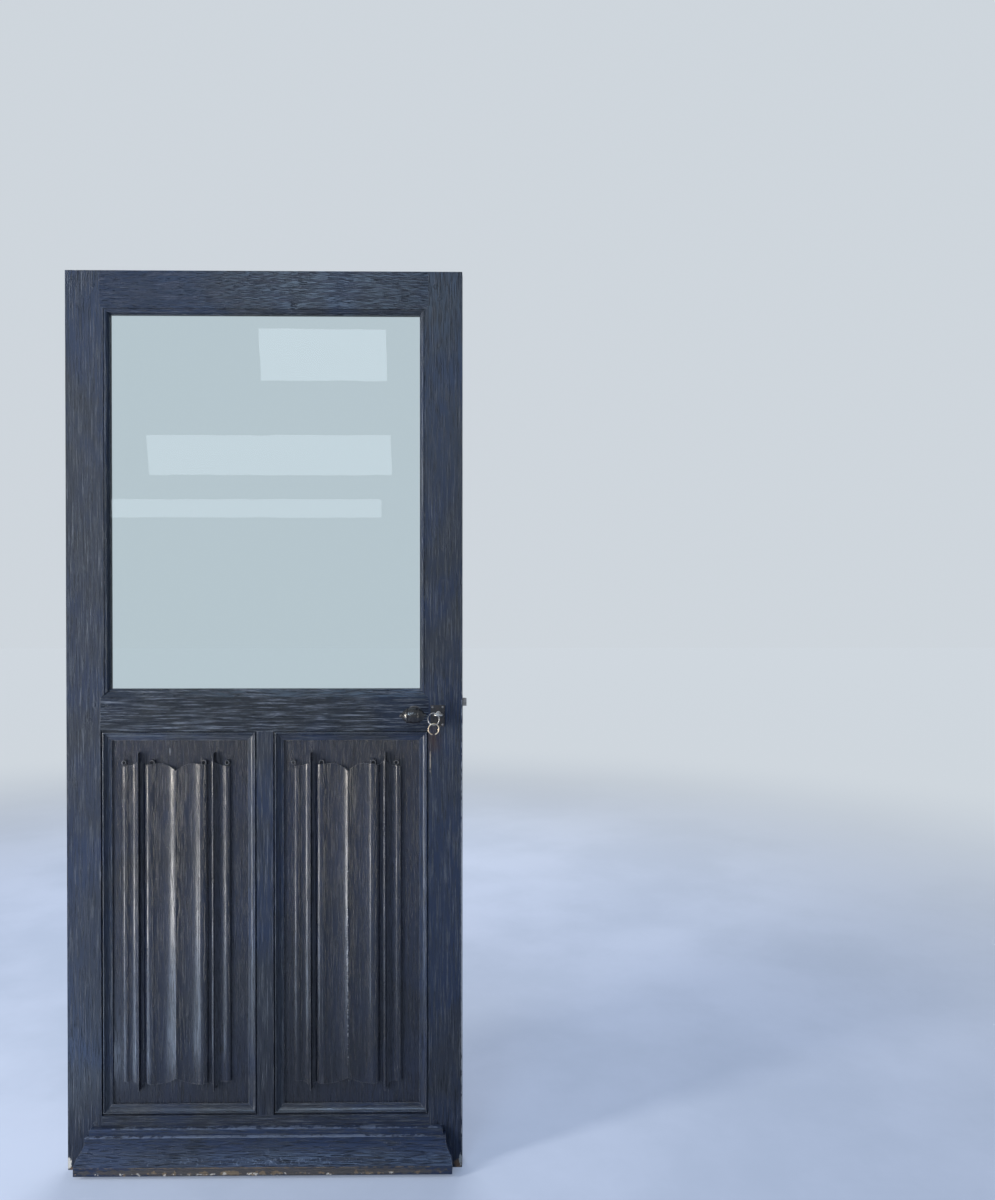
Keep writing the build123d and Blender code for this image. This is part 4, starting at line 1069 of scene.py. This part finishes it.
@dataclass
class Studio:
    """Camera, lamps, world and floor.

    Args:
        eye: Where the camera stands.
        turn_degrees: Its turn about Y, X and Z from a level view along Y, given in the order X, Y, Z.
        focal_pixels: Its focal length, in the photograph's pixels.
        frame_pixels: The photograph's height, in pixels.
        sensor: The sensor's height, in millimetres.
        clip: The nearest and the farthest that it sees.
        floor_level: The height of the floor.
        floor_half: Half the floor's width.
        floor_middle: The floor's middle along X.
        floor_cells: The number of its clouds along a metre.
        floor_levels: The levels of their noise between which one tone turns into the other.
        floor_tones: The two tones.
        floor_fade: The distances from the door between which the floor fades into the backdrop.
        far_tone: The floor's tone beyond them.
        near_glow: What the floor adds to its tone near the door, where it is seen.
        sky_cast: The colour of the sky's light.
        backdrop: The colour of the backdrop and of the far floor, in that order.
        lamps: The lamps.
    """

    eye: Place = (0.9543, -2.2298, 1.0826)
    turn_degrees: Place = (-0.524, -0.030, -0.734)
    focal_pixels: float = 952.8
    frame_pixels: float = 1200.0
    sensor: float = 36.0
    clip: Span = (0.05, 60.0)
    floor_level: float = -0.240
    floor_half: float = 20.0
    floor_middle: float = 0.45
    floor_cells: float = 1.3
    floor_levels: Span = (0.35, 0.65)
    floor_tones: tuple[Colour, Colour] = ((0.26, 0.30, 0.38), (0.32, 0.36, 0.45))
    floor_fade: Span = (1.6, 6.0)
    far_tone: Colour = (0.02, 0.02, 0.02)
    near_glow: Colour = (0.16, 0.19, 0.25)
    sky_cast: Colour = (0.17, 0.22, 0.32)
    backdrop: tuple[Colour, Colour] = ((0.62, 0.67, 0.72), (0.60, 0.65, 0.70))
    lamps: tuple[Lamp, ...] = (
        Lamp("window_left", (-2.7, -1.9, 1.30), (0.45, 0.0, 0.9), (0.6, 2.8), 225.0, (1.0, 0.94, 0.84)),
        Lamp("sky_front", (0.2, -3.6, 3.6), (0.45, 0.0, 0.7), (2.4, 1.6), 62.0, (0.58, 0.77, 1.0)),
        ground_card("bright_ground_far", -1.55, -1.16, 1.3, 38.0, (0.96, 0.95, 0.92)),
        ground_card("bright_ground_near", -0.58, -0.56, 1.0, 7.0, (0.62, 0.78, 1.0)),
        high_window("high_window_top", -0.02, 2.98, (0.60, 0.34), 13.0),
        high_window("high_window_upper", -0.02, 2.50, (0.76, 0.30), 2.6),
        high_window("high_window_middle", -0.34, 1.90, (1.46, 0.24), 3.6),
        high_window("high_window_lower", -0.55, 1.58, (1.76, 0.11), 1.8),
        Lamp("back_fill", (0.4, 3.2, 2.4), (0.45, 0.0, 0.9), (2.6, 2.6), 120.0, (1.0, 0.98, 0.94), False),
    )

    def camera(self) -> None:
        """Place the camera where the photograph was taken from."""
        data = bpy.data.cameras.new("camera")
        data.sensor_fit = "VERTICAL"
        data.sensor_height = self.sensor
        data.lens = self.sensor * self.focal_pixels / self.frame_pixels
        data.clip_start, data.clip_end = self.clip
        camera = add_object("camera", data)
        turn = Euler([math.radians(angle) for angle in self.turn_degrees], "YXZ").to_matrix().to_4x4()
        camera.matrix_world = Matrix.Translation(self.eye) @ turn @ Matrix.Rotation(math.radians(90), 4, "X")
        bpy.context.scene.camera = camera

    def world(self) -> None:
        """Light the scene with a pale sky that the camera sees as a pale backdrop."""
        world = bpy.data.worlds.new("world")
        world.use_nodes = True
        background = world.node_tree.nodes["Background"]
        colour = cast_or_seen(world.node_tree, self.sky_cast, self.backdrop[0])
        world.node_tree.links.new(colour, background.inputs["Color"])
        bpy.context.scene.world = world

    def floor(self) -> None:
        """Lay the pale floor, which glows a little where it is seen, so that it stays pale far away."""
        sheet = Sheet("pale floor")
        cloud = sheet.noise(sheet.coordinates(), self.floor_cells, detail=6.0)
        near = sheet.mix(sheet.ramp(cloud, *self.floor_levels), *self.floor_tones)
        away = sheet.ramp(sheet.length(sheet.coordinates()), *self.floor_fade)
        near_glow = cast_or_seen(sheet.tree, BLACK, self.near_glow)
        far_glow = cast_or_seen(sheet.tree, BLACK, self.backdrop[1])
        sheet.join("Base Color", sheet.mix(away, near, self.far_tone))
        sheet.join("Emission Color", sheet.mix(away, near_glow, far_glow))
        sheet.set(Roughness=0.9, Emission_Strength=1.0, Specular_IOR_Level=0.1)
        mesh = bmesh.new()
        bmesh.ops.create_grid(mesh, x_segments=1, y_segments=1, size=self.floor_half)
        bmesh.ops.translate(mesh, vec=(self.floor_middle, 0.0, self.floor_level), verts=mesh.verts)
        floor = add_mesh("floor", mesh, sheet.material)

    def build(self) -> None:
        """Set up the whole studio."""
        self.camera()
        for lamp in self.lamps:
            lamp.hang()
        self.world()
        self.floor()
        view = bpy.context.scene.view_settings
        view.view_transform = "Standard"
        log.info("studio: camera, %d lamps, world and floor", len(self.lamps))


def main() -> None:
    """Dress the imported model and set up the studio."""
    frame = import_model()
    nodes = frame["nodes"]
    for part in (FramedLeaf(), Panels(), Glazing(), Weatherboard(), Ironmongery(), KnobsAndKey()):
        part.dress(nodes)
    Studio().build()


if __name__ == "__main__":
    logging.basicConfig(level=logging.INFO, format="%(message)s")
    main()
